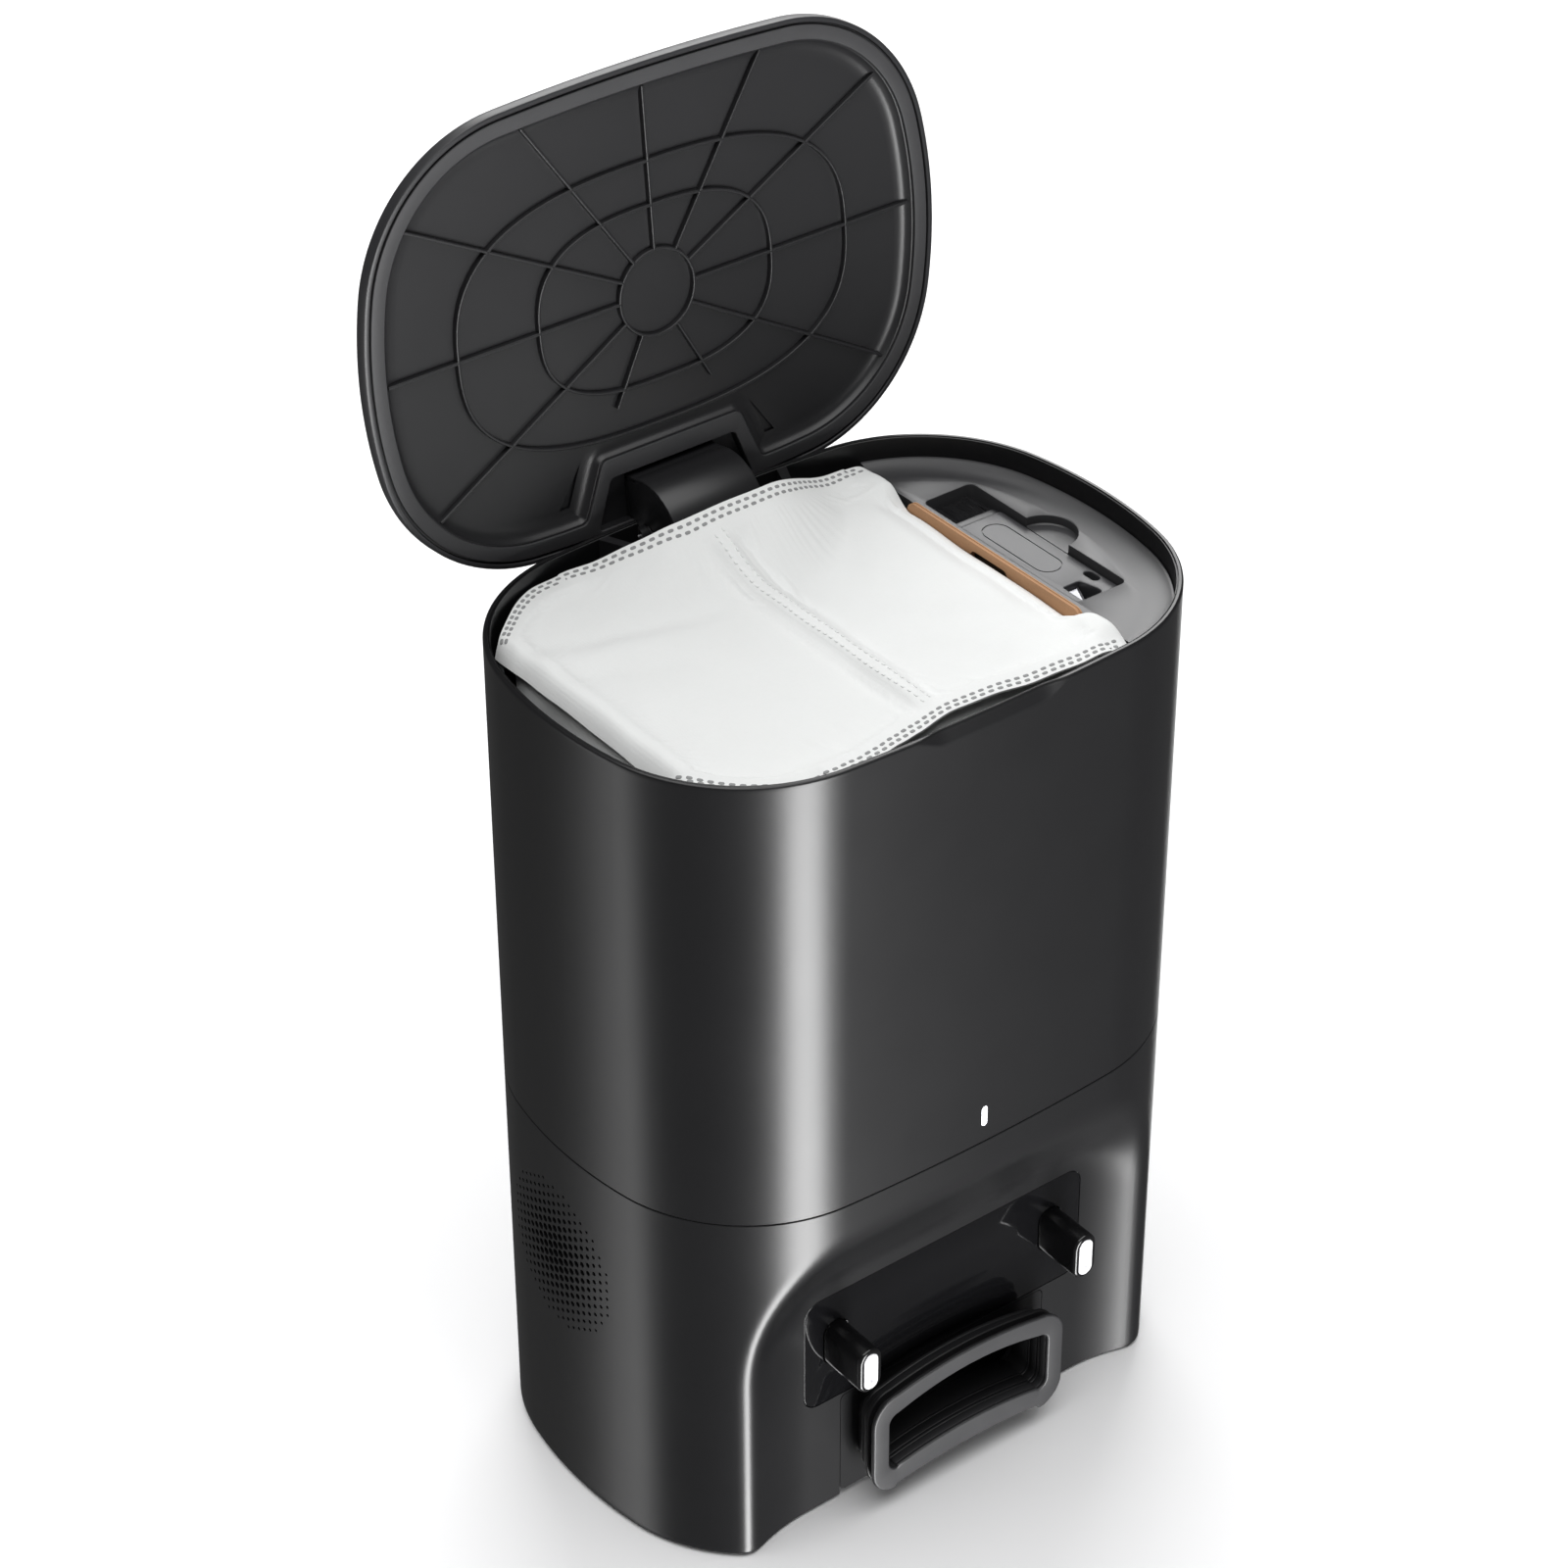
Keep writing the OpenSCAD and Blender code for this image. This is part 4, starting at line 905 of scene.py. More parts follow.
# ---- Geometry node trees -----------------------------------------------------------
class GeometryTree(Tree):
    """A geometry node tree with named inputs, run on one piece."""

    def __init__(self, name: str, inputs: Sequence[tuple[str, str, object]]) -> None:
        """Starts a tree.

        Args:
            name: the tree's name.
            inputs: (name, socket type, default) of each input after the geometry.
        """
        group = bpy.data.node_groups.new(name, "GeometryNodeTree")
        group.interface.new_socket("Geometry", in_out="INPUT", socket_type="NodeSocketGeometry")
        for label, kind, default in inputs:
            socket = group.interface.new_socket(label, in_out="INPUT", socket_type=kind)
            if default is not None:
                socket.default_value = default
        group.interface.new_socket("Geometry", in_out="OUTPUT", socket_type="NodeSocketGeometry")
        super().__init__(group)
        self.inputs = self.node("NodeGroupInput").outputs
        self.result = self.node("NodeGroupOutput").inputs[0]

    def given(self, name: str) -> Value:
        """One of the tree's inputs."""
        return Value(self, self.inputs[name])

    def vector(self, x: object = 0.0, y: object = 0.0, z: object = 0.0) -> Value:
        """A vector from three values."""
        return self.out("ShaderNodeCombineXYZ", {}, {0: x, 1: y, 2: z})

    def finish_with(self, geometry: object, material: object) -> None:
        """Ends the tree in Realize Instances and Set Material.

        Args:
            geometry: the tree's geometry.
            material: its material.
        """
        real = self.out("GeometryNodeRealizeInstances", {}, {0: geometry})
        done = self.out("GeometryNodeSetMaterial", {}, {"Geometry": real, "Material": material})
        self.feed(self.result, done)

    def run(self, piece: bpy.types.Object, sharp: float | None = 34.0, **values: object) -> bpy.types.Object:
        """Runs the tree on a piece and keeps the result as its plain mesh.

        Args:
            piece: the piece.
            sharp: edges bent more than this many degrees stay sharp.
            values: the tree's inputs, by name in lower case.

        Returns:
            The same piece.
        """
        step = piece.modifiers.new(self.tree.name, "NODES")
        step.node_group = self.tree
        for item in self.tree.interface.items_tree:
            key = item.name.replace(" ", "_").lower()
            if item.item_type == "SOCKET" and item.in_out == "INPUT" and key in values:
                step[item.identifier] = values[key]
        return settle(piece, sharp)


class VentField(GeometryTree):
    """Round holes on a triangular grid, smaller towards the edge of a round field."""

    def __init__(self) -> None:
        """Builds the tree."""
        super().__init__("vent_field", [
            ("Pitch", "NodeSocketFloat", 0.0046), ("Field", "NodeSocketFloat", 0.039),
            ("Large", "NodeSocketFloat", 0.002), ("Small", "NodeSocketFloat", 0.0007),
            ("Centre", "NodeSocketVector", (0, 0, 0)), ("Depth", "NodeSocketFloat", 0.02),
            ("Material", "NodeSocketMaterial", None),
        ])
        pitch, field = self.given("Pitch"), self.given("Field")
        count = 25
        grid = self.out("GeometryNodeMeshGrid", {},
            {0: (count - 1) * 1.0, 1: (count - 1) * 1.0, 2: count, 3: count})
        spot = self.node("GeometryNodeInputPosition").outputs[0]
        apart = self.node("ShaderNodeSeparateXYZ", {}, {0: spot})
        column, row = Value(self, apart.outputs[0]), Value(self, apart.outputs[1])
        odd = self.math("ABSOLUTE", self.math("MODULO", self.math("ROUND", column), 2.0))
        y, z = column * pitch * math.sin(math.radians(60)), (row + odd * 0.5) * pitch
        moved = self.out("GeometryNodeSetPosition", {}, {"Geometry": grid, "Position": self.vector(0.0, y, z)})
        reach = self.out("ShaderNodeVectorMath", {"operation": "LENGTH"}, {0: spot}, 1)
        kept = self.out("GeometryNodeDeleteGeometry", {"domain": "POINT"},
            {"Geometry": moved, "Selection": reach > field})
        drill = self.out("GeometryNodeMeshCylinder", {}, {"Vertices": 14, "Radius": 1.0, "Depth": 1.0})
        share = reach / field
        size = self.given("Large") - (self.given("Large") - self.given("Small")) * share ** 1.35
        holes = self.out("GeometryNodeInstanceOnPoints", {}, {
            "Points": kept, "Instance": drill, "Rotation": (0.0, math.pi / 2, 0.0),
            "Scale": self.vector(size, size, self.given("Depth")),
        })
        real = self.out("GeometryNodeRealizeInstances", {}, {0: holes})
        at = self.out("GeometryNodeTransform", {}, {"Geometry": real, "Translation": self.given("Centre")})
        cut_out = self.node("GeometryNodeMeshBoolean", {"operation": "DIFFERENCE", "solver": "EXACT"},
            {0: self.inputs["Geometry"], 1: at})
        self.finish_with(cut_out.outputs[0], self.given("Material"))


class RibWeb(GeometryTree):
    """Ribs of one width and height swept along the edges of a flat wire mesh."""

    def __init__(self) -> None:
        """Builds the tree."""
        super().__init__("rib_web", [
            ("Width", "NodeSocketFloat", 0.0014), ("Height", "NodeSocketFloat", 0.005),
            ("Edge", "NodeSocketFloat", 0.0005), ("Material", "NodeSocketMaterial", None),
        ])
        paths = self.out("GeometryNodeMeshToCurve", {}, {0: self.inputs["Geometry"]})
        upright = self.out("GeometryNodeSetCurveNormal", {"mode": "Z_UP"}, {0: paths})
        section = self.out("GeometryNodeCurvePrimitiveQuadrilateral", {},
            {0: self.given("Width"), 1: self.given("Height")})
        soft = self.out("GeometryNodeFilletCurve", {"mode": "POLY"},
            {"Curve": section, "Count": 3, "Radius": self.given("Edge")})
        swept = self.out("GeometryNodeCurveToMesh", {},
            {"Curve": upright, "Profile Curve": soft, "Fill Caps": True})
        self.finish_with(swept, self.given("Material"))


class Scatter(GeometryTree):
    """One small shape set on every point of a mesh, turned to the point's own axes."""

    def __init__(self) -> None:
        """Builds the tree."""
        super().__init__("scatter_on_axes", [
            ("Shape", "NodeSocketObject", None), ("Size Spread", "NodeSocketFloat", 0.0),
            ("Seed", "NodeSocketInt", 3), ("Material", "NodeSocketMaterial", None),
        ])
        shape = self.out("GeometryNodeObjectInfo", {"transform_space": "ORIGINAL"}, {0: self.given("Shape")},
            "Geometry")
        axes = [
            self.out("GeometryNodeInputNamedAttribute", {"data_type": "FLOAT_VECTOR"}, {"Name": name})
            for name in ("up_axis", "long_axis")
        ]
        turn = self.out("FunctionNodeAxesToRotation", {"primary_axis": "Z", "secondary_axis": "X"},
            {0: axes[0], 1: axes[1]})
        spread = self.given("Size Spread")
        size = self.out("FunctionNodeRandomValue", {"data_type": "FLOAT"},
            {2: 1.0 - spread, 3: 1.0 + spread, "Seed": self.given("Seed")}, 1)
        placed = self.out("GeometryNodeInstanceOnPoints", {}, {
            "Points": self.inputs["Geometry"], "Instance": shape, "Rotation": turn,
            "Scale": self.vector(size, size, size),
        })
        self.finish_with(placed, self.given("Material"))


def points_on_axes(name: str, points: np.ndarray, up: np.ndarray, along: np.ndarray) -> bpy.types.Object:
    """Loose points for Scatter, each with the axes its shape is turned to.

    Args:
        name: the piece's name.
        points: the places.
        up: where each shape's Z axis points.
        along: where each shape's X axis points.

    Returns:
        The object.
    """
    piece = piece_of(name, points, [])
    for label, values in (("up_axis", up), ("long_axis", along)):
        layer = piece.data.attributes.new(label, "FLOAT_VECTOR", "POINT")
        layer.data.foreach_set("vector", np.asarray(values, np.float32).ravel())
    return piece


# ---- Shells ------------------------------------------------------------------------
def even_angles(pitch: float) -> np.ndarray:
    """Normal angles at which the body's plan has points a given distance apart.

    Args:
        pitch: distance between points.

    Returns:
        The angles in radians.
    """
    dense = np.linspace(0, 2 * math.pi, 6001)
    points = PLAN.at(dense)
    length = np.concatenate([[0], np.cumsum(np.linalg.norm(np.diff(points, axis=0), axis=1))])
    count = int(round(length[-1] / pitch / 4)) * 4
    return np.interp(np.linspace(0, length[-1], count, endpoint=False), length, dense)


def ease(x: np.ndarray) -> np.ndarray:
    """A smooth step from 0 at 0 to 1 at 1."""
    x = np.clip(x, 0, 1)
    return x * x * (3 - 2 * x)


def larger(a: np.ndarray, b: np.ndarray, blend: float) -> np.ndarray:
    """The larger of two heights, with the crease between them rounded over blend."""
    h = np.clip(blend - np.abs(a - b), 0, None) / blend
    return np.maximum(a, b) + h * h * blend / 4


@dataclass
class BaseShell:
    """The lower casing, with its docking recess, exhaust field and openings."""

    low: float = 1.5
    high: float = 190.0
    wall: float = 3.0
    panel_y: float = PANEL_Y
    recess_depth: float = 23.7
    recess: tuple[float, float, float] = (90.0, 131.0, 25.0)
    spread: float = 78.0
    rise: float = 40.0
    mouth: float = 5.0
    root: float = 4.0
    cover: tuple[float, float, float] = (57.8, 3.5, 60.1)
    gloss: tuple[float, float, float, float] = (78.0, 61.5, 121.5, 1.5)
    vent: tuple[float, float, float] = (10.0, 128.0, 39.0)
    inlet: tuple[float, float, float, float] = (66.0, 30.0, 26.0, 16.0)
    contact_hole: tuple[float, float] = (14.6, 25.6)

    def share(self, x: np.ndarray, z: np.ndarray) -> np.ndarray:
        """How far a point of the front view lies from the flat panel towards the face.

        Args:
            x: distances from the middle.
            z: heights.

        Returns:
            0 on the panel's edge, 1 on the mouth's edge, and less than 0 inside the panel.
        """
        hw, top, r = self.recess
        qx = np.abs(x) - (hw - r)
        low, high = np.full_like(x, -0.85), np.full_like(x, 4.0)
        for _ in range(26):
            f = (low + high) / 2
            qz = z - (top - r) - (self.rise - self.spread) * f
            d = np.hypot(np.maximum(qx, 0), np.maximum(qz, 0)) + np.minimum(np.maximum(qx, qz),
                0) - r - self.spread * f
            low, high = np.where(d > 0, f, low), np.where(d > 0, high, f)
        return (low + high) / 2

    def grid(self) -> bpy.types.Object:
        """The shell before its openings are cut.

        Returns:
            The shell, open at its top and bottom.
        """
        angles = even_angles(CASING_PITCH)
        inner = np.arange(5.5, self.high - 1, 2.6)
        levels = [(1.0, self.low), (0.3, self.low + 0.7), (0.0, self.low + 1.7)] + [(0.0, z) for z in inner]
        levels += [(0.0, self.high - 0.35), (0.28, self.high)]
        rings = []
        for inset, z in levels:
            xy = PLAN.at(angles, inset)
            x, y = xy[:, 0], xy[:, 1]
            f = self.share(x, np.full_like(x, z))
            back = self.panel_y - self.recess_depth * f
            back = -larger(-back, np.full_like(x, -self.panel_y), self.root)
            back = np.where(f < -0.5, self.panel_y, back)
            y = np.where(y < 0, larger(y, back, self.mouth), y)
            rings.append(np.column_stack([x, y, np.full_like(x, z)]))
        shell = piece_of("base_casing", np.concatenate(rings), quads(len(rings), len(angles)))
        skin = shell.modifiers.new("wall", "SOLIDIFY")
        skin.thickness, skin.offset, skin.use_even_offset = self.wall * MM, -1, False
        return settle(shell, 38)

    def build(self) -> bpy.types.Object:
        """Makes the shell, cuts its openings and drills its exhaust field.

        Returns:
            The shell.
        """
        shell = self.grid()
        hw, z0, z1 = self.cover
        gx, gz0, gz1, deep = self.gloss
        ix, iz, iw, ih = self.inlet
        cutters = [
            plate("c1", [round_box(-hw - 0.15, z0 - 13, hw + 0.15, z1 + 0.15, 3)], self.panel_y - 1,
            self.panel_y + 6, 0.05, Facing.FORWARD),
            plate("c2", [round_box(-gx - 0.15, gz0 - 0.15, gx + 0.15, gz1 + 0.15, 8)], self.panel_y - 1,
            self.panel_y + deep, 0.05, Facing.FORWARD),
            plate("c3", [round_box(ix - iw / 2 - 0.3, iz - ih / 2 - 0.3, ix + iw / 2 + 0.3, iz + ih / 2 + 0.3,
            4)], 92, 104, 0.05, Facing.FORWARD),
        ]
        cutters += [plate("c4", [stadium(*self.contact_hole, s * CONTACT_PITCH / 2, CONTACT_Z)],
            self.panel_y - 1, self.panel_y + 6, 0.05, Facing.FORWARD) for s in (-1, 1)]
        cut(shell, *cutters)
        dress(shell, CASING)
        y, z, r = self.vent
        VentField().run(shell, 38, field=r * MM, centre=(-0.1435, y * MM, z * MM), material=CASING.material())
        return mount(shell, CASING, "station", "base_shell")


@dataclass
class UpperCasing:
    """The upper casing, with its double lip, rear gap, grip notch and lamp slot."""

    low: float = 190.35
    high: float = 410.0
    wall: float = 3.0
    notch: tuple[float, float, float] = (34.0, 6.5, 1.9)
    gap: tuple[float, float] = (28.6, 393.0)
    lamp: tuple[float, float, float] = (204.0, 3.3, 10.5)

    def build(self) -> bpy.types.Object:
        """Makes the casing.

        Returns:
            The casing.
        """
        angles = even_angles(CASING_PITCH)
        x = PLAN.at(angles)[:, 0]
        front = np.sin(angles) < 0
        reach, tall, deep = self.notch
        crown = self.high - 1.2
        start = np.where(front, self.high - tall + (tall - 1.2) * ease((np.abs(x) - (reach - 9)) / 15), crown)
        ramp = np.where(front, 1.0, 0.0) * deep / (tall - 1.2)
        rings = []

        def ring(inset: object, z: object) -> None:
            """Adds one ring; inset and z are numbers or one value for each point."""
            xy = PLAN.at(angles, inset)
            rings.append(np.column_stack([xy, np.broadcast_to(z, len(angles))]))

        ring(0.28, self.low)
        ring(0.0, self.low + 0.35)
        for z in np.linspace(196, 396, 26):
            ring(0.0, z)
        ring(0.0, start - 1.2)
        for k in np.linspace(0, 1, 7):
            z = start + (crown - start) * k
            ring((z - start) * ramp, z)
        rim = (crown - start) * ramp
        for inset, up in ((0.12, 0.55), (0.45, 0.95), (0.9, 1.2)):
            ring(rim + inset, crown + up)
        flat = np.maximum(rim + 1.0, 1.95)
        for inset, z in ((flat, self.high), (flat + 0.12, self.high - 0.12), (flat + 0.14, self.high - 0.9),
            (flat + 0.42, self.high - 0.9),
                         (flat + 0.46, self.high - 0.45), (flat + 0.6, self.high - 0.35),
                         (np.maximum(flat + 0.9, 2.95), self.high - 0.5),
                         (np.maximum(flat + 0.95, 3.0), self.high - 0.8)):
            ring(inset, z)
        for z in (400.0, 330.0, 260.0, self.low):
            ring(self.wall, z)
        shell = loft("upper_casing_shell", rings, sharp=28)
        hw, z = self.gap
        mid, w, h = self.lamp
        cut(shell,
            plate("c1", [round_box(-hw, z, hw, z + 40, 0.6)], 90, 108, 0.05, Facing.FORWARD),
            plate("c2", [stadium(w, h, 0, mid)], -106, -96, 0.05, Facing.FORWARD))
        soften(shell, 28)
        return mount(shell, CASING, "station", "upper_casing")

    def light(self) -> bpy.types.Object:
        """The lit window of the status lamp.

        Returns:
            The window.
        """
        mid, w, h = self.lamp
        window = plate("lamp_window", [stadium(w - 0.3, h - 0.3, 0, mid)], -102.52, -99.1, 0.35, Facing.FORWARD)
        flange = plate("lamp_flange", [stadium(w + 2.7, h + 2.7, 0, mid)], -99.2, -98.9, 0.1, Facing.FORWARD)
        return mount(merged("status_lamp", [window, flange]), LAMP, "station", "status_light")


@dataclass
class DockPanel:
    """The gloss panel and the two sprung contacts that stand through it."""

    panel_y: float = PANEL_Y
    gloss: tuple[float, float, float, float] = (78.0, 61.5, 121.5, 1.35)
    pitch: float = CONTACT_PITCH
    height: float = CONTACT_Z
    arm: tuple[float, float] = (12.6, 23.6)
    tip: tuple[float, float] = (7.5, 19.4)
    front: float = -103.4
    back: float = -63.8

    def panel(self) -> bpy.types.Object:
        """The gloss panel.

        Returns:
            The panel.
        """
        hw, z0, z1, t = self.gloss
        loops = [round_box(-hw + 0.15, z0 + 0.15, hw - 0.15, z1 - 0.15, 8)]
        loops += [stadium(self.arm[0] + 0.7, self.arm[1] + 0.7, s * self.pitch / 2, self.height) for s in (-1, 1)]
        piece = plate("dock_gloss_panel", loops, self.panel_y + 0.05, self.panel_y + t, 0.25, Facing.FORWARD)
        return mount(piece, GLOSS, "station", "gloss_panel")

    def contact(self, side: int, word: str) -> None:
        """One contact arm with its plated tip.

        Args:
            side: -1 on the left, 1 on the right.
            word: the side's name.
        """
        x, (w, h), (tw, th) = side * self.pitch / 2, self.arm, self.tip
        body = plate("b", [stadium(w, h, x, self.height)], self.front, self.back, 1.7, Facing.FORWARD, steps=5)
        seat = plate("s", [stadium(tw + 0.25, th + 0.25, x, self.height)], self.front - 1, self.front + 1.3,
            0.05, Facing.FORWARD)
        arm = cut(body, seat)
        stop = plate("t", [stadium(w + 3.6, h + 3.6, x, self.height)], self.back - 2.5, self.back + 0.01, 0.2,
            Facing.FORWARD)
        mount(merged(f"contact_arm_{word}_body", [arm, stop]), ARM_BLACK, f"arm_{word}", f"contact_arm_{word}")
        tip = plate("p", [stadium(tw, th, x, self.height)], self.front - 0.5, self.front + 1.1, 0.55,
            Facing.FORWARD, steps=4)
        groove = plate("g", [stadium(1.7, th - 6.0, x, self.height)], self.front - 2, self.front + 0.95, 0.05,
            Facing.FORWARD)
        tip = cut(tip, groove)
        tip.name = f"contact_tip_{word}"
        # The tip's near-white diffuse colour is painted reflection on the plating.
        mount(tip, CHROME_AND_PAINTED_SHINE, f"arm_{word}", f"contact_plate_{word}")

    def build(self) -> None:
        """Makes the panel and both contacts."""
        self.panel()
        self.contact(-1, "left")
        self.contact(1, "right")


@dataclass
class SuctionPort:
    """The bowed suction mouth: a rubber lip on a stepped plastic horn."""

    width: float = 108.6
    z0: float = 10.0
    height: float = 54.5
    bow: float = 5.0
    crown: float = 2.6
    corner: float = 14.0
    border: float = 9.0
    lip_front: float = -98.3
    lip_back: float = -92.55
    step: float = -84.0
    panel_y: float = PANEL_Y

    def outline(self, inset: float, low: float = 0.0, drop: float = 0.0) -> Loop:
        """The mouth's outline.

        Args:
            inset: how far it moves inwards.
            low: how far its bottom edge lifts.
            drop: how far its top edge drops.

        Returns:
            The loop, anticlockwise.
        """
        hw, r = self.width / 2 - inset, max(self.corner - inset, 3.0)
        b, t, k = self.z0 + inset + low, self.z0 + self.height - inset - drop, hw - r
        x = np.linspace(-k, k, 21)
        end = (self.bow + self.crown) * k * k / hw**2 - self.bow
        top = np.column_stack([-x, t + self.bow - (self.bow + self.crown) * x * x / hw**2])
        bottom = np.column_stack([x, b + self.bow * (1 - x * x / hw**2)])
        return np.concatenate([bottom, arc((k, b + r), r, -84, 0, 7), arc((k, t - r - end), r, 0, 76, 7), top,
                               arc((-k, t - r - end), r, 104, 180, 7), arc((-k, b + r), r, 180, 264, 7)])

    def build(self) -> None:
        """Makes the lip and the horn behind it."""
        hole = self.outline(self.border, 3.0)
        rim = plate("r", [self.outline(0), hole], self.lip_front, self.lip_front + 2.4, 1.0, Facing.FORWARD,
            steps=5)
        sleeve = plate("s", [self.outline(4.0), hole], self.lip_front + 2.0, self.lip_back, 0.3, Facing.FORWARD)
        mount(merged("port_lip_rubber", [rim, sleeve]), LIP, "station", "port_lip")
        inner, neck = self.outline(self.border, 3.0), self.outline(self.border, 3.0, 5.0)
        parts = [
            plate("a", [self.outline(1.0), inner], -92.5, -90.3, 0.7, Facing.FORWARD, steps=4),
            plate("b", [self.outline(4.0), inner], -90.6, self.step - 1.9, 0.5, Facing.FORWARD),
            plate("c", [self.outline(4.0), neck], self.step - 2.1, self.step, 0.6, Facing.FORWARD),
            plate("d", [self.outline(7.0, 0.0, 5.0), neck], self.step - 0.5, self.panel_y + 5.0, 0.2,
            Facing.FORWARD),
        ]
        mount(merged("port_horn_body", parts), INNER, "station", "port_horn")


# ---- Deck and tool -----------------------------------------------------------------
@dataclass
class ToolDeck:
    """The dished deck on the right, with the pocket and finger scoop for the cleaning tool."""

    deck_z: float = 397.0
    left: float = 87.0
    thick: float = 2.5
    inset: float = 3.3
    dish: float = 13.0
    rise: float = 3.0
    tool: tuple[float, float, float, float] = TOOL_BOX
    gap: float = 0.8
    pocket: float = 12.0
    scoop: tuple[float, float, float, float] = (116.5, 4.0, 13.0, 4.6)

    def well(self, name: str, loop: Loop, floor: float, lip: float = 0.5) -> bpy.types.Object:
        """A cutter whose mouth flares, so that it leaves a soft edge at the deck.

        Args:
            name: the cutter's name.
            loop: the well's outline.
            floor: height of its floor.
            lip: width of the flare.

        Returns:
            The cutter.
        """
        z = self.deck_z
        rows = [(-0.6, floor), (0.0, floor + 0.6), (0.0, z - lip), (lip * 0.3, z - lip * 0.3), (lip, z),
            (lip, z + 6)]
        rings = [np.column_stack([offset(loop, d), np.full(len(loop), h)]) for d, h in rows]
        return loft(name, rings, closed=False)

    def build(self) -> bpy.types.Object:
        """Makes the deck and its tub.

        Returns:
            The deck.
        """
        z, angles = self.deck_z, PLAN.angles(10, 34, 14)
        rows = [(self.inset, z - self.thick), (self.inset, z + self.rise - 0.1), (self.inset + 0.15, z + self.rise)]
        rows += [(self.inset + 0.3 + self.dish * k, z + self.rise * (1 - k) ** 2.2) for k in np.linspace(0, 1, 14)]
        deck = loft("tool_deck_dish", PLAN.rings(rows, angles), closed=False)
        slab = plate("k", [round_box(-200, -200, self.left, 200, 0.5)], z - 20, z + 20, 0.05)
        cut(deck, slab)
        x0, y0, x1, y1 = self.tool
        g, w = self.gap, 1.5
        cx, cy, r, d = self.scoop
        tub = plate("t", [round_box(x0 - g - w, y0 - g - w, x1 + g + w, y1 + g + w, 3.5)], z - self.pocket - w,
            z - 0.8, 0.3)
        cup = plate("u", [arc((cx, cy), r + g + w, 0, 360, 48)[:-1]], z - d - w, z - 0.8, 0.3)
        for part in (tub, cup):
            step = deck.modifiers.new("add", "BOOLEAN")
            step.operation, step.solver, step.object = "UNION", "EXACT", part
        settle(deck)
        remove(tub, cup)
        cut(deck, self.well("p", round_box(x0 - g, y0 - g, x1 + g, y1 + g, 2.6), z - self.pocket))
        cut(deck, self.well("s", arc((cx, cy), r + g, 0, 360, 60)[:-1], z - d))
        soften(deck, 30)
        return mount(deck, DECK, "station", "tool_deck")


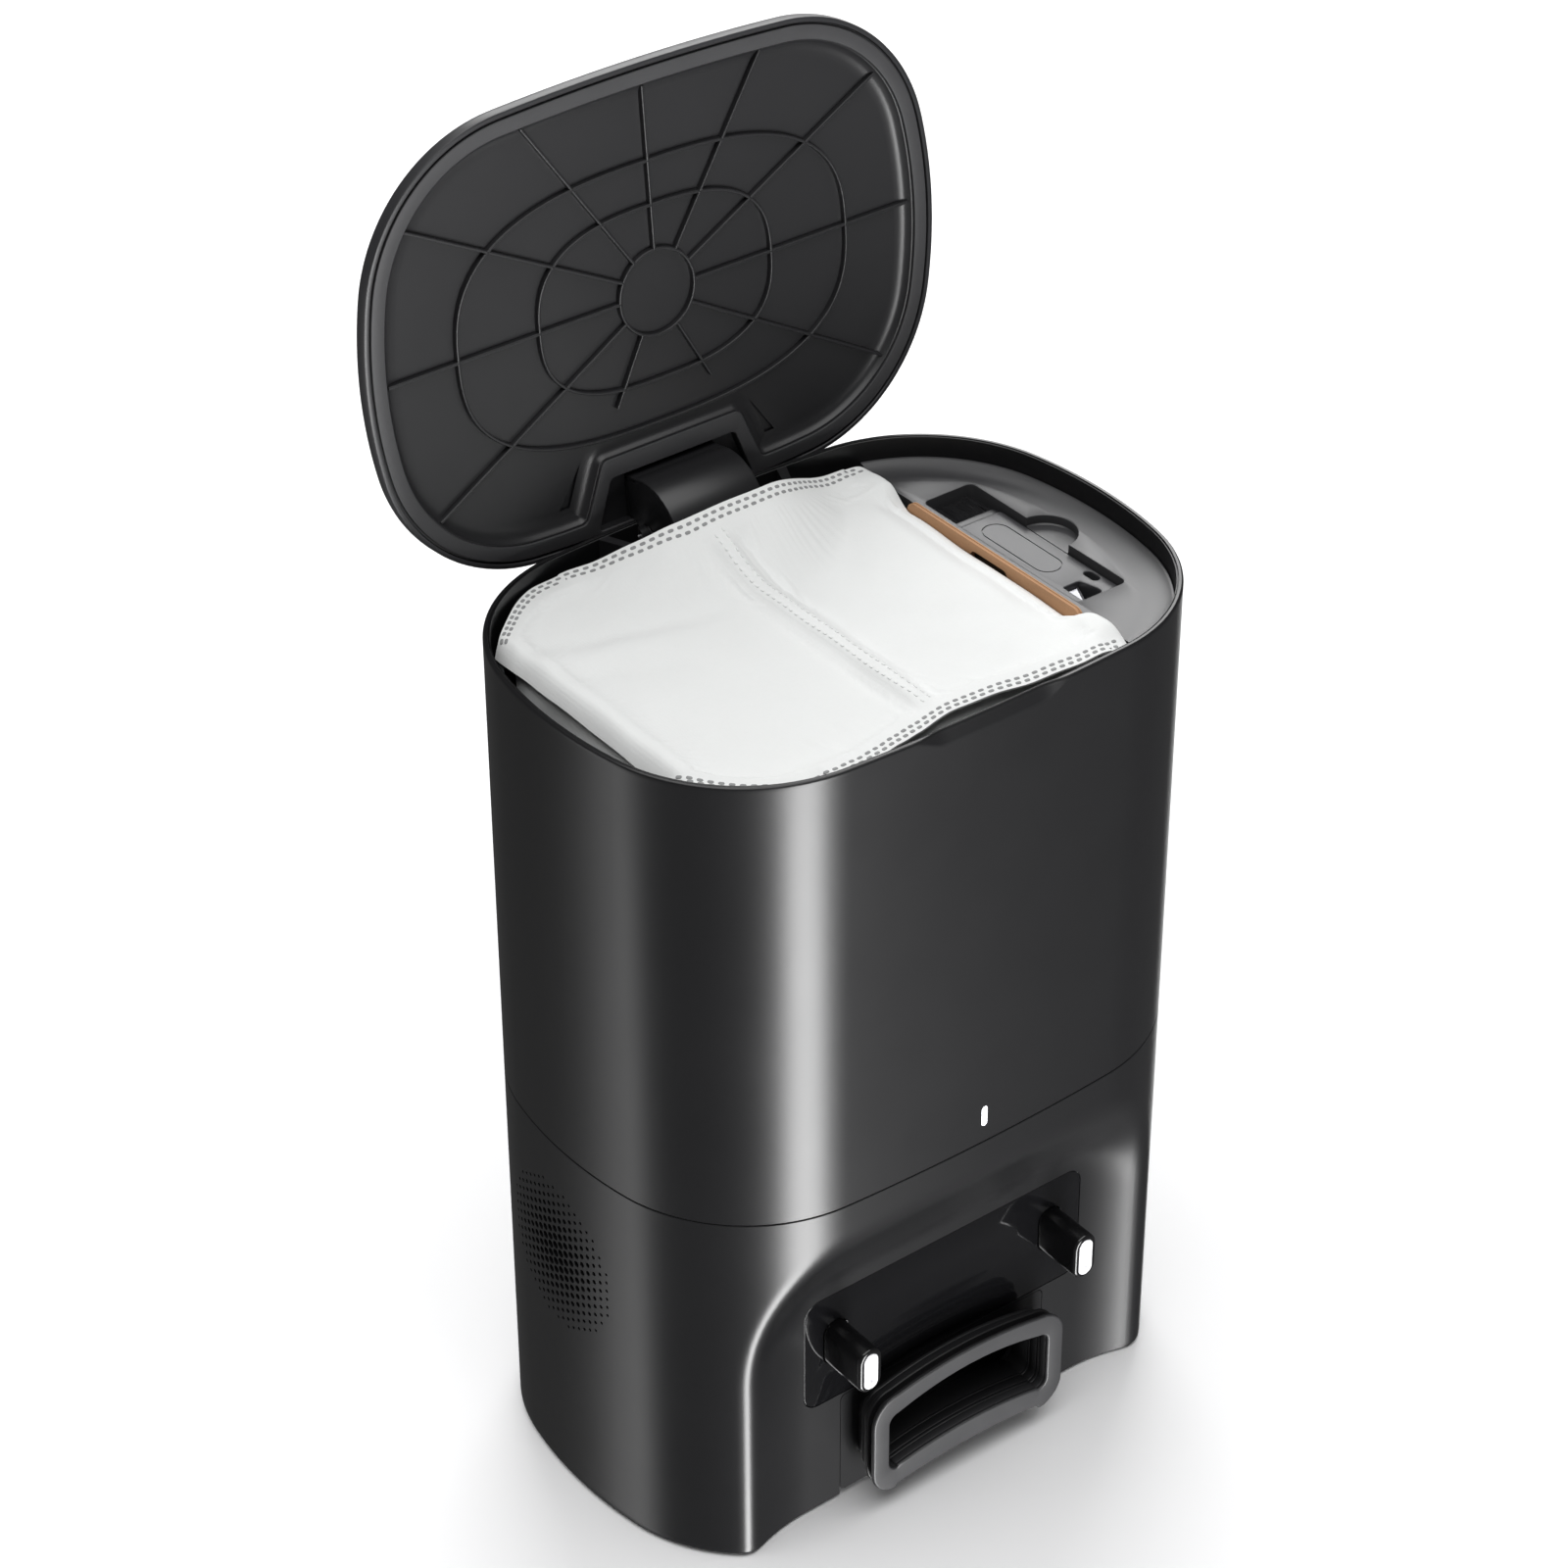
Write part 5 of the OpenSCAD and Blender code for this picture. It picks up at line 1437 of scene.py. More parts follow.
@dataclass
class CleaningTool:
    """The brush and blade tool that lies in the deck's pocket."""

    box: tuple[float, float, float, float] = TOOL_BOX
    low: float = 385.2
    high: float = 393.2
    brush: float = 20.0
    blade: float = 16.0
    rows: tuple[int, int] = (5, 22)

    def handle(self) -> bpy.types.Object:
        """The handle, with its outlined grip, hanging slot and blade window.

        Returns:
            The handle.
        """
        x0, y0, x1, y1 = self.box
        window = rounded([(x0 + 6.0, y0 + 4.0, 1.0), (x1 - 8.2, y0 + 4.0, 1.4), (x1 - 8.2, y0 + 7.5, 1.4),
            (x1 - 10.5, y0 + self.blade, 1.2), (x0 + 6.0, y0 + self.blade, 0.6)], 5)
        slot = stadium(3.8, 8.0, x1 - 3.5, y0 + self.blade)
        body = plate("cleaning_tool_handle", [rounded([(x0, y0, 3.5), (x1, y0, 3.5), (x1, y1 - self.brush, 1.5),
            (x0, y1 - self.brush, 1.5)], 8), window, slot], self.low, self.high, 0.7, steps=4)
        mid, cy = (x0 + x1) / 2, (y0 + y1) / 2
        groove = plate("g", [stadium(13.2, 46.2, mid, cy + 1), stadium(12.0, 45.0, mid, cy + 1)],
            self.high - 0.45, self.high + 1, 0.05)
        cut(body, groove)
        soften(body, 30)
        return mount(body, TOOL, "tool", "tool_handle")

    def steel(self) -> bpy.types.Object:
        """The hooked blade with its ground edge.

        Returns:
            The blade.
        """
        x0, y0, _, _ = self.box
        z = (self.low + self.high) / 2 + 1.6
        loop = np.array([(x0 + 6.2, y0 + 4.2), (x0 + 8.4, y0 + 4.2), (x0 + 13.8, y0 + self.blade - 0.2),
            (x0 + 6.2, y0 + self.blade - 0.2)])
        ground = offset(loop, -1.3)
        rings = [np.column_stack([loop, np.full(4, z - 0.4)]), np.column_stack([loop, np.full(4, z - 0.2)]),
            np.column_stack([ground, np.full(4, z + 0.4)])]
        return mount(loft("cleaning_tool_blade", rings, closed=False, sharp=20), BLADE, "tool", "tool_blade")

    def bristles(self) -> bpy.types.Object:
        """The brush: tufts of bristles on a bar, set by a scatter tree.

        Returns:
            The brush.
        """
        x0, _, x1, y1 = self.box
        y = y1 - self.brush
        rng = np.random.default_rng(11)
        points, ups, alongs = [], [], []
        for i in range(self.rows[1]):
            for j in range(self.rows[0]):
                px = x0 + 2.0 + (x1 - x0 - 4.0) * (i + 0.5 * (j % 2)) / (self.rows[1] - 0.5)
                pz = self.low + 1.6 + (self.high - self.low - 2.8) * j / (self.rows[0] - 1)
                for _ in range(3):
                    lean = rng.normal(0, 0.055, 2)
                    points.append((px + rng.normal(0, 0.25), y + 3.9, pz + rng.normal(0, 0.2)))
                    ups.append((lean[0], 1.0, lean[1] * 0.5))
                    alongs.append((1, 0, 0))
        ups = np.array(ups) / np.linalg.norm(ups, axis=1)[:, None]
        rings = [np.column_stack([0.30 * t * np.cos(np.linspace(0, 2 * math.pi, 5)[:-1]),
            0.30 * t * np.sin(np.linspace(0, 2 * math.pi, 5)[:-1]), np.full(4, z)])
                 for t, z in ((1.0, 0.0), (0.95, 8.0), (0.45, 14.6))]
        hair = loft("one_bristle", rings, closed=False)
        tufts = points_on_axes("brush_tufts", np.array(points), ups, np.array(alongs))
        Scatter().run(tufts, 40, shape=hair, size_spread=0.03, seed=5, material=BRISTLE.material())
        bar = plate("bar", [round_box(x0 + 0.6, y + 0.1, x1 - 0.6, y + 4.2, 0.8)], self.low + 0.4,
            self.high - 0.6, 0.4)
        remove(hair)
        return mount(merged("cleaning_tool_brush", [tufts, bar]), BRISTLE, "tool", "tool_bristles")

    def build(self) -> None:
        """Makes the whole tool."""
        self.handle()
        self.steel()
        self.bristles()


# ---- Lid ---------------------------------------------------------------------------
@dataclass
class Lid:
    """The lid: drawn closed, then swung open about its hinge line."""

    hinge: tuple[float, float] = (100.6, 401.5)
    open_by: float = 95.0
    low: float = 410.5
    top: float = 419.0
    edge: float = 4.0
    skin: float = 2.0
    band: tuple[float, float] = (3.0, 10.0)
    panel_z: float = 415.3
    rib: tuple[float, float] = (1.4, 2.5)
    hub: float = 19.0
    inner: tuple[float, float] = (59.5, 39.0)
    outer: tuple[float, float] = (99.5, 58.5)
    power: float = 2.7
    spokes: tuple[float, ...] = (0.0, 33.7, 62.0, 90.0, 120.0, 152.0)
    bay_front: float = 74.5
    bay_half: tuple[float, float] = (32.5, 44.5)
    bay_rear: float = 97.0
    bay_back: float = 107.5
    pitch: float = 3.2
    arm_size: tuple[float, float, float] = (24.5, 23.0, 415.25)

    def swing(self, piece: bpy.types.Object) -> bpy.types.Object:
        """Opens a piece that was drawn on the closed lid.

        Args:
            piece: the piece.

        Returns:
            The same piece.
        """
        y, z = self.hinge
        at = Matrix.Translation((0, y * MM, z * MM))
        piece.data.transform(at @ Matrix.Rotation(math.radians(-self.open_by), 4, "X") @ at.inverted())
        return piece

    def bay(self) -> Loop:
        """The mouth of the hinge bay.

        Returns:
            The loop.
        """
        (a, b), f, rear = self.bay_half, self.bay_front, self.bay_rear
        c = a + (b - a) * (rear - f) / (self.bay_back - f)
        return rounded([(-a, f, 3.0), (a, f, 3.0), (c, rear, 1.5), (-c, rear, 1.5)])

    def shell(self) -> bpy.types.Object:
        """The outer skin, with a rounded top edge.

        Returns:
            The skin.
        """
        bends = np.radians(np.linspace(0, 90, 9))
        rows = [(2.2, self.top - self.skin), (2.2, self.low + 0.3), (1.9, self.low), (0.6, self.low),
            (0.15, self.low + 0.2), (0.0, self.low + 0.7)]
        rows += [(self.edge * (1 - math.cos(b)), self.top - self.edge * (1 - math.sin(b))) for b in bends]
        rows += [(self.edge + 6, self.top)]
        piece = loft("lid_outer", PLAN.rings(rows, even_angles(self.pitch)), closed=False)
        return mount(self.swing(piece), LID_SKIN, "lid", "lid_shell")

    def frame_path(self, inset: float, grow: float, r: float) -> Loop:
        """The band's inner edge: the oval, broken by the hinge bay with rounded corners.

        Args:
            inset: how far the edge lies inside the lid's outline.
            grow: how far it stands off the bay.
            r: radius of its corners.

        Returns:
            The loop, anticlockwise.
        """
        (a, b), f = self.bay_half, self.bay_front - grow
        half = a + grow * 0.4
        slope = (b + grow * 0.9 - half) / (self.bay_back - f)
        angles = even_angles(self.pitch)
        loop = PLAN.at(angles, inset)
        order = np.argsort(np.arctan2(loop[:, 0], -loop[:, 1]))
        loop = loop[order]
        keep = ~((loop[:, 1] > f) & (np.abs(loop[:, 0]) < half + slope * (loop[:, 1] - f) + 9))
        loop = loop[keep]
        face = PLAN.half_d - inset
        y_end = float(np.interp(half + 14, [0, 60], [face, face - 1.6]))
        x_end = half + slope * (y_end - f)
        side = -1 if loop[-1, 0] < 0 else 1
        notch = rounded([
            (loop[-1, 0], loop[-1, 1], 0), (side * x_end, y_end, r), (side * half, f, r),
            (-side * half, f, r), (-side * x_end, y_end, r), (loop[0, 0], loop[0, 1], 0),
        ], 7)
        return np.concatenate([loop[1:-1], notch])

    def lining(self) -> bpy.types.Object:
        """The inner panel, dished up from the band with a broad fillet.

        Returns:
            The panel, still on the closed lid.
        """
        outline = PLAN.at(even_angles(self.pitch), 2.5)
        ridge = self.frame_path(self.band[1], 9.0, 4.0)
        rows = [(0.0, self.low + 1.4), (-0.4, self.low + 1.6), (-0.8, self.low + 2.2), (-1.6, self.low + 3.3),
            (-3.0, self.low + 4.2), (-5.5, self.panel_z - 0.12), (-8.0, self.panel_z)]
        count = len(ridge)
        rings, z_back = [], self.panel_z + 1.5
        for d, z in rows:
            rings.append(np.column_stack([offset(ridge, d), np.full(count, z)]))
        verts = np.concatenate(rings)
        faces = [f[::-1] for f in quads(len(rings), count)]
        inside = fill([rings[-1][:, :2]])
        start = (len(rings) - 1) * count
        for tri in inside:
            a, b, c = (rings[-1][i, :2] for i in tri)
            tri = tri if np.cross(b - a, c - a) < 0 else tri[::-1]
            faces.append([start + i for i in tri])
        n0 = len(verts)
        verts = np.concatenate([verts, np.column_stack([outline, np.full(len(outline), self.low + 1.4)]),
            np.column_stack([outline, np.full(len(outline), z_back)])])
        ring = fill([outline, anticlockwise(ridge)[::-1]])
        both = np.concatenate([outline, anticlockwise(ridge)[::-1]])
        back = {i: (n0 + i if i < len(outline) else count - 1 - (i - len(outline))) for i in range(len(both))}
        for tri in ring:
            a, b, c = (both[i] for i in tri)
            tri = tri if np.cross(b - a, c - a) < 0 else tri[::-1]
            faces.append([back[i] for i in tri])
        m = len(outline)
        faces += [[n0 + f for f in face] for face in quads(2, m)]
        faces.append([n0 + m + j for j in range(m)])
        piece = piece_of("lid_lining", verts, faces, 26)
        cut(piece, plate("bay", [self.bay()], self.low - 1, self.panel_z, 0.05))
        soften(piece, 26)
        return piece

    def wires(self) -> bpy.types.Object:
        """The lines that the ribs follow, as a flat wire mesh.

        Returns:
            The wire mesh, still on the closed lid.
        """
        z = self.panel_z - self.rib[1] / 2 + 1.0
        limit = self.frame_path(self.band[1] + 1.0, 9.5, 4.0)
        lines: list[np.ndarray] = []

        def clip(line: np.ndarray) -> None:
            """Keeps the parts of a line that lie on the panel.

            Args:
                line: the line's points.
            """
            x, y = limit[:, 0], limit[:, 1]
            x2, y2 = np.roll(x, -1), np.roll(y, -1)
            run: list[np.ndarray] = []
            for p in line:
                crossing = ((y > p[1]) != (y2 > p[1])) & (p[0] < (x2 - x) * (p[1] - y) / (y2 - y + 1e-12) + x)
                if crossing.sum() % 2:
                    run.append(p)
                elif len(run) > 1:
                    lines.append(np.array(run))
                    run = []
                else:
                    run = []
            if len(run) > 1:
                lines.append(np.array(run))

        def ring(hw: float, hd: float, power: float) -> None:
            """One closed rib.

            Args:
                hw: half its width.
                hd: half its depth.
                power: 2 for an ellipse, more for a squarer ring.
            """
            a = np.linspace(0, 2 * math.pi, 145)
            c, s = np.cos(a), np.sin(a)
            clip(np.column_stack([hw * np.sign(c) * np.abs(c) ** (2 / power),
                hd * np.sign(s) * np.abs(s) ** (2 / power)]))

        ring(self.hub, self.hub, 2.0)
        ring(*self.inner, self.power)
        ring(*self.outer, self.power)
        for side in (-1, 1):
            for a in self.spokes:
                if side < 0 and a == 0:
                    continue
                t = math.radians(-90 + side * a)
                far = 160.0 if a < 150 else 52.0
                clip(np.array([(r * math.cos(t), r * math.sin(t)) for r in np.arange(self.hub, far, 0.8)]))
        verts = np.concatenate([np.column_stack([l, np.full(len(l), z)]) for l in lines])
        mesh = bpy.data.meshes.new("rib_lines")
        edges, start = [], 0
        for l in lines:
            edges += [(start + i, start + i + 1) for i in range(len(l) - 1)]
            start += len(l)
        mesh.from_pydata((verts * MM).tolist(), edges, [])
        piece = bpy.data.objects.new("lid_ribs", mesh)
        bpy.context.scene.collection.objects.link(piece)
        return piece

    def build(self) -> None:
        """Makes the shell, lining, ribs, band and hinge arm."""
        self.shell()
        mount(self.swing(self.lining()), LID_INSIDE, "lid", "lid_panel")
        ribs = self.wires()
        RibWeb().run(ribs, 40, width=self.rib[0] * MM, height=(self.rib[1] + 2.0) * MM, edge=0.00045,
            material=LID_INSIDE.material())
        mount(self.swing(ribs), LID_INSIDE, "lid")
        outline = PLAN.at(even_angles(self.pitch), self.band[0] + 0.3)
        band = plate("lid_band_seal", [outline, self.frame_path(self.band[1] - 0.3, 8.7, 4.0), self.bay()],
            self.low + 0.05, self.low + 1.45, 0.4)
        mount(self.swing(band), BAND, "lid", "lid_seal")
        self.arm()

    def arm(self) -> bpy.types.Object:
        """The curved hinge arm, with cheeks that run on the pin.

        Returns:
            The arm.
        """
        y, z = self.hinge
        r, half, pad = self.arm_size
        skin = np.concatenate([arc((y, z), r, 160, 262, 40), arc((y, z), r - 2, 262, 160, 40)])
        parts = [plate("a", [skin], -half, half, 0.6, Facing.RIGHT, steps=3)]
        x0 = y - r * 0.96
        parts.append(plate("b", [round_box(x0, z + r * 0.24, x0 + 2.6, pad, 0.4)], -half, half, 0.3, Facing.RIGHT))
        parts.append(plate("c", [round_box(x0, pad - 2, y - 5, pad, 0.4)], -half, half, 0.3, Facing.RIGHT))
        cheek = np.concatenate([arc((y, z), r - 0.5, 160, 262, 30), [(y - 2.6, z - 7), (y - 4.1, z - 1)],
            arc((y, z), 4.2, 250, 420, 20), [(y - 2, z + 6), (y - 5, pad), (x0, pad)]])
        hole = arc((y, z), 2.05, 0, 360, 24)[:-1]
        for s in (-1, 1):
            a, b = sorted((s * half, s * (half - 3)))
            parts.append(plate("d", [cheek, hole], a + 0.05, b - 0.05, 0.25, Facing.RIGHT))
        return mount(self.swing(merged("lid_hinge_arm", parts, 30)), HINGE, "lid", "lid_arm")


# ---- Bag ---------------------------------------------------------------------------
@dataclass
class DustBag:
    """The filled fleece bag: a welded top sheet over a soft pouch, with its board collar."""

    left: float = -124.0
    right: float = 83.4
    level: float = 401.3
    rear_peak: float = 18.5
    seam_x: float = -11.5
    seam_w: float = 9.0
    grid: tuple[int, int] = (210, 190)
    cloth: float = 0.9
    collar: tuple[float, float, float, float, float, float] = (84.0, 86.4, -56.0, 58.0, 287.0, 399.0)
    bore: tuple[float, float, float] = (1.0, 349.0, 25.0)
    pouch_front: float = -83.5
    pouch_right: float = 81.4
    cloth_frames: int = 20

    def front(self, x: np.ndarray) -> np.ndarray:
        """Where the front weld runs."""
        return np.interp(x, [-124, -117, -108, -98, -88, -72, -50, -30, -9, 12, 34, 58, 76, 84, 90],
                         [-50, -60, -71, -82, -89.5, -92, -90.5, -86.5, -82.5, -83, -86, -88, -87, -85.5, -83])

    def rear(self, x: np.ndarray) -> np.ndarray:
        """Where the rear weld runs."""
        return np.interp(x, [-124, -112, -100, -87, -70, -52, -36, -24, 20, 34, 50, 66, 80, 84, 90],
                         [66, 77, 87, 93.5, 92, 85.5, 79, 75.5, 75.5, 78, 84, 88, 90, 89, 86])

    def smooth(self, line: Callable[[np.ndarray], np.ndarray], x: np.ndarray) -> np.ndarray:
        """A line with its corners rounded over a few millimetres."""
        return sum(line(x + d) * w for d, w in ((-6, 0.12), (-3, 0.22), (0, 0.32), (3, 0.22), (6, 0.12)))

    def surface(self, u: np.ndarray, v: np.ndarray) -> np.ndarray:
        """Points of the top sheet.

        Args:
            u: 0 at the left edge to 1 at the right edge.
            v: 0 at the front weld to 1 at the rear weld.

        Returns:
            Points, one row for each u and v.
        """
        lap = 3.6 * np.exp(-(((v - 0.06) / 0.09) ** 2)) + 1.2 * ease((v - 0.84) / 0.1)
        x = self.left + (self.right + lap - self.left) * u
        y0, y1 = self.smooth(self.front, x), self.smooth(self.rear, x)
        y = y0 + (y1 - y0) * v
        away, near = y1 - y, y - y0
        peak = self.rear_peak * np.exp(-np.abs(x / 52) ** 3.0)
        z = self.level + peak * np.clip(1 - away / 44, 0, 1) ** 1.6
        side = x - self.seam_x
        z += 2.6 * np.sin(math.pi * np.clip(near / 70, 0, 1) ** 0.8 * 0.5) * (1 - 0.5 * np.exp(-((side / 30) ** 2)))
        clear = ease((np.minimum(away, near) - 5) / 14)
        z += 1.7 * clear * np.exp(-np.abs(side / (self.seam_w / 2)) ** 4.0)
        z -= 1.6 * clear * np.exp(-np.abs((np.abs(side) - self.seam_w * 0.85) / 3.6) ** 2)

        def fold(ax: float, ay: float, bx: float, by: float, wide: float, deep: float,
            lean: float = 0.0) -> np.ndarray:
            """A fold along a line; lean makes one side steeper.

            Args:
                ax: x where it starts.
                ay: y where it starts.
                bx: x where it ends.
                by: y where it ends.
                wide: half its width.
                deep: its height.
                lean: how much steeper one side is.

            Returns:
                The height at every point.
            """
            dx, dy = bx - ax, by - ay
            length = math.hypot(dx, dy)
            t = ((x - ax) * dx + (y - ay) * dy) / length**2
            d = ((x - ax) * dy - (y - ay) * dx) / length
            body = np.exp(-((d / wide) ** 2)) * (1 + lean * np.tanh(d / wide))
            return deep * body * ease((t + 0.12) / 0.3) * ease((1.12 - t) / 0.45)

        z -= fold(72, 84, 6, 6, 13, 3.4, 0.7)
        z += fold(84, 64, 18, 0, 15, 1.6, -0.5)
        z -= fold(-124, 58, -28, 34, 8, 1.7, 0.6)
        z += fold(-122, 44, -34, 22, 12, 1.3)
        z -= fold(-122, 34, -52, 6, 7, 0.8)
        z -= fold(70, -50, 10, -10, 10, 0.9, 0.5)
        z += fold(58, -78, 16, -22, 9, 0.7)
        z -= fold(-108, -74, -66, -30, 10, 1.1, -0.4)
        z -= fold(-60, -88, -44, -50, 5, 0.7)
        z += fold(-76, -90, -62, -54, 5, 0.8)
        z -= fold(-20, 72, -46, 36, 8, 0.9)
        z += 0.22 * np.sin(x * 0.55 + 2.0 * np.sin(y * 0.09)) * np.exp(-(((y + 72) / 20) ** 2)) * np.exp(
            -(((x + 52) / 34) ** 2))
        z += 0.35 * np.sin(x * 0.11 + 1.3) * np.sin(y * 0.13 + 0.4) + 0.2 * np.sin(x * 0.23 - y * 0.17 + 2.0)
        press = np.exp(-((np.minimum(away, near) / 9.0) ** 4))
        z -= 0.6 * press * (peak < 1)
        z -= 7.5 * np.clip(1 - u / 0.035, 0, 1) ** 2 + 1.6 * np.clip(1 - (1 - u) / 0.02, 0, 1) ** 2
        z -= 1.5 * np.exp(-(((x - 84) / 12) ** 2)) * np.exp(-(((y - 88) / 16) ** 2))
        z -= 3.0 * ease((x - 66) / 20) * ease((-y - 70) / 18)
        z -= 9.0 * ease((x - 60) / 24) ** 1.3 * ease((y + 64) / 16) * ease((70 - y) / 16)
        return np.stack([x, y, z], -1)

    def settle_cloth(self, piece: bpy.types.Object, fixed: np.ndarray, cap: float = 2.4) -> None:
        """Lets the sheet relax as cloth that is a little too large for its frame of welds.

        Args:
            piece: the sheet.
            fixed: how firmly each point is held, from 0 to 1.
            cap: how far a point may move.
        """
        rest = np.array([v.co for v in piece.data.vertices])
        group = piece.vertex_groups.new(name="held")
        for i, w in enumerate(fixed):
            if w > 0:
                group.add([i], float(w), "REPLACE")
        step = piece.modifiers.new("cloth", "CLOTH")
        step.settings.quality = 5
        step.settings.mass = 0.15
        step.settings.tension_stiffness = step.settings.compression_stiffness = 12
        step.settings.shear_stiffness = 6
        step.settings.bending_stiffness = 0.4
        step.settings.vertex_group_mass = "held"
        step.settings.shrink_min = -0.022
        step.settings.use_pressure = False
        step.settings.effector_weights.gravity = 0.25
        step.point_cache.frame_start, step.point_cache.frame_end = 1, self.cloth_frames
        scene = bpy.context.scene
        for number in range(1, self.cloth_frames + 1):
            scene.frame_set(number)
        shape = piece.evaluated_get(bpy.context.evaluated_depsgraph_get())
        moved = np.array([v.co for v in shape.data.vertices])
        piece.modifiers.clear()
        piece.vertex_groups.clear()
        scene.frame_set(1)
        shift = moved - rest
        far = np.linalg.norm(shift, axis=1)
        limit = cap * MM
        shift *= (limit * np.tanh(far / limit) / (far + 1e-9))[:, None]
        piece.data.vertices.foreach_set("co", (rest + shift).astype(np.float32).ravel())
        piece.data.update()

    def top(self) -> bpy.types.Object:
        """The top sheet, with its welds pressed flat and its left edge folded down.

        Returns:
            The sheet.
        """
        nu, nv = self.grid
        u, v = np.meshgrid(np.linspace(0, 1, nu), np.linspace(0, 1, nv), indexing="ij")
        points = self.surface(u, v).reshape(-1, 3)
        piece = piece_of("bag_top_sheet", points, [f[::-1] for f in quads(nu, nv, wrap_columns=False)], 180)
        y0, y1 = self.smooth(self.front, points[:, 0]), self.smooth(self.rear, points[:, 0])
        edge = np.minimum.reduce([points[:, 1] - y0, y1 - points[:, 1], points[:, 0] - self.left,
            self.right + 4 - points[:, 0]])
        seam = np.abs(points[:, 0] - self.seam_x) - self.seam_w / 2 - 1
        hold = np.clip(1 - np.minimum(edge - 9, seam) / 3, 0, 1)
        self.settle_cloth(piece, hold)
        skin = piece.modifiers.new("cloth", "SOLIDIFY")
        skin.thickness, skin.offset = self.cloth * MM, -1
        settle(piece, 60)
        mount(piece, FLEECE, "bag")
        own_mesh(piece)
        return piece

    def welds(self) -> None:
        """Rows of pressed weld marks along both ends and down the middle seam."""
        shapes = {}
        for word, length, wide, tall in (("end", 2.6, 1.5, 0.16), ("mid", 2.0, 1.1, 0.26)):
            shapes[word] = plate(f"one_{word}_mark", [stadium(length, wide)], -tall, tall, 0.12, steps=2)
        found = {"end": ([], [], []), "mid": ([], [], [])}

        def row(word: str, u: np.ndarray, v: np.ndarray) -> None:
            """One row of marks along a line of the sheet.

            Args:
                word: which marks.
                u: places across the sheet.
                v: places along the sheet.
            """
            e = 0.004
            p = self.surface(u, v)
            du, dv = self.surface(u + e, v) - p, self.surface(u, v - e) - p
            up = np.cross(dv, du)
            up *= np.sign(up[:, 2:3])
            up /= np.linalg.norm(up, axis=1)[:, None]
            line = np.gradient(p, axis=0)
            line /= np.linalg.norm(line, axis=1)[:, None]
            for store, values in zip(found[word], (p + up * 0.05, up, line)):
                store.append(values)

        def spaced(u: np.ndarray, v: np.ndarray, pitch: float, lag: float) -> tuple[np.ndarray, np.ndarray]:
            """Evenly spaced places along a line of the sheet.

            Args:
                u: the line across the sheet.
                v: the line along the sheet.
                pitch: distance between marks.
                lag: how much later the first one stands.

            Returns:
                The places across and along the sheet.
            """
            p = self.surface(u, v)
            length = np.concatenate([[0], np.cumsum(np.linalg.norm(np.diff(p, axis=0), axis=1))])
            at = np.arange(3.0 + lag, length[-1] - 2.0, pitch)
            return np.interp(at, length, u), np.interp(at, length, v)

        u = np.linspace(0.012, 0.988, 400)
        x = self.left + (self.right - self.left) * u
        span = self.smooth(self.rear, x) - self.smooth(self.front, x)
        for k, inset in enumerate((2.1, 4.8)):
            row("end", *spaced(u, 1 - inset / span, 4.3, 1.4 * k))
            row("end", *spaced(u, inset / span, 4.3, 1.4 * k))
        v = np.linspace(0.06, 0.95, 300)
        for k, shift in enumerate((-2.2, 2.2)):
            row("mid", *spaced(np.full_like(v,
                (self.seam_x + shift - self.left) / (self.right + 0.4 - self.left)), v, 3.8, 1.2 * k))
        for word, finish in (("end", WELD), ("mid", FLEECE)):
            places = [np.concatenate(part) for part in found[word]]
            marks = points_on_axes(f"bag_{word}_welds", *places)
            Scatter().run(marks, 40, shape=shapes[word], material=finish.material())
            mount(marks, finish, "bag")
            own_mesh(marks)
        remove(*shapes.values())

    def pouch(self) -> bpy.types.Object:
        """The filled body of the bag, under its top sheet.

        Returns:
            The pouch.
        """
        angles = even_angles(4.0)
        rows = [(30, 216.0), (18, 215.5), (8, 219), (3, 225), (0.5, 236), (0, 260), (1.5, 300), (0.5, 340),
            (1.5, 372), (0.5, 384), (2.5, 391), (8, 396), (16, 397.6)]
        rings = []
        for inset, z in rows:
            loop = PLAN.at(angles, 12.0)
            sag = 1.0 * np.sin(angles * 9 + z * 0.05) + 0.7 * np.sin(angles * 17 - z * 0.03)
            x = np.clip(loop[:, 0], self.left + inset, self.pouch_right - inset)
            low = self.pouch_front + inset
            high = np.where(np.abs(x) < 46, 59.0, np.interp(np.abs(x), [46, 62, 70], [59, 84, 92])) - inset
            y = np.clip(loop[:, 1], low, high)
            centre = np.array([-21.0, 0.0])
            scale = 1 - np.clip(sag + 1.2, 0, 3) / 110
            rings.append(np.column_stack([centre[0] + (x - centre[0]) * scale,
                centre[1] + (y - centre[1]) * scale, np.full(len(x), z)]))
        piece = loft("bag_pouch", rings, closed=False, sharp=75)
        step = piece.modifiers.new("even", "REMESH")
        step.mode, step.voxel_size = "VOXEL", 4.5 * MM
        settle(piece, 80)
        smooth = piece.modifiers.new("ease", "SMOOTH")
        smooth.factor, smooth.iterations = 0.5, 6
        settle(piece, 80)
        mount(piece, FLEECE, "bag", "dust_bag")
        return piece

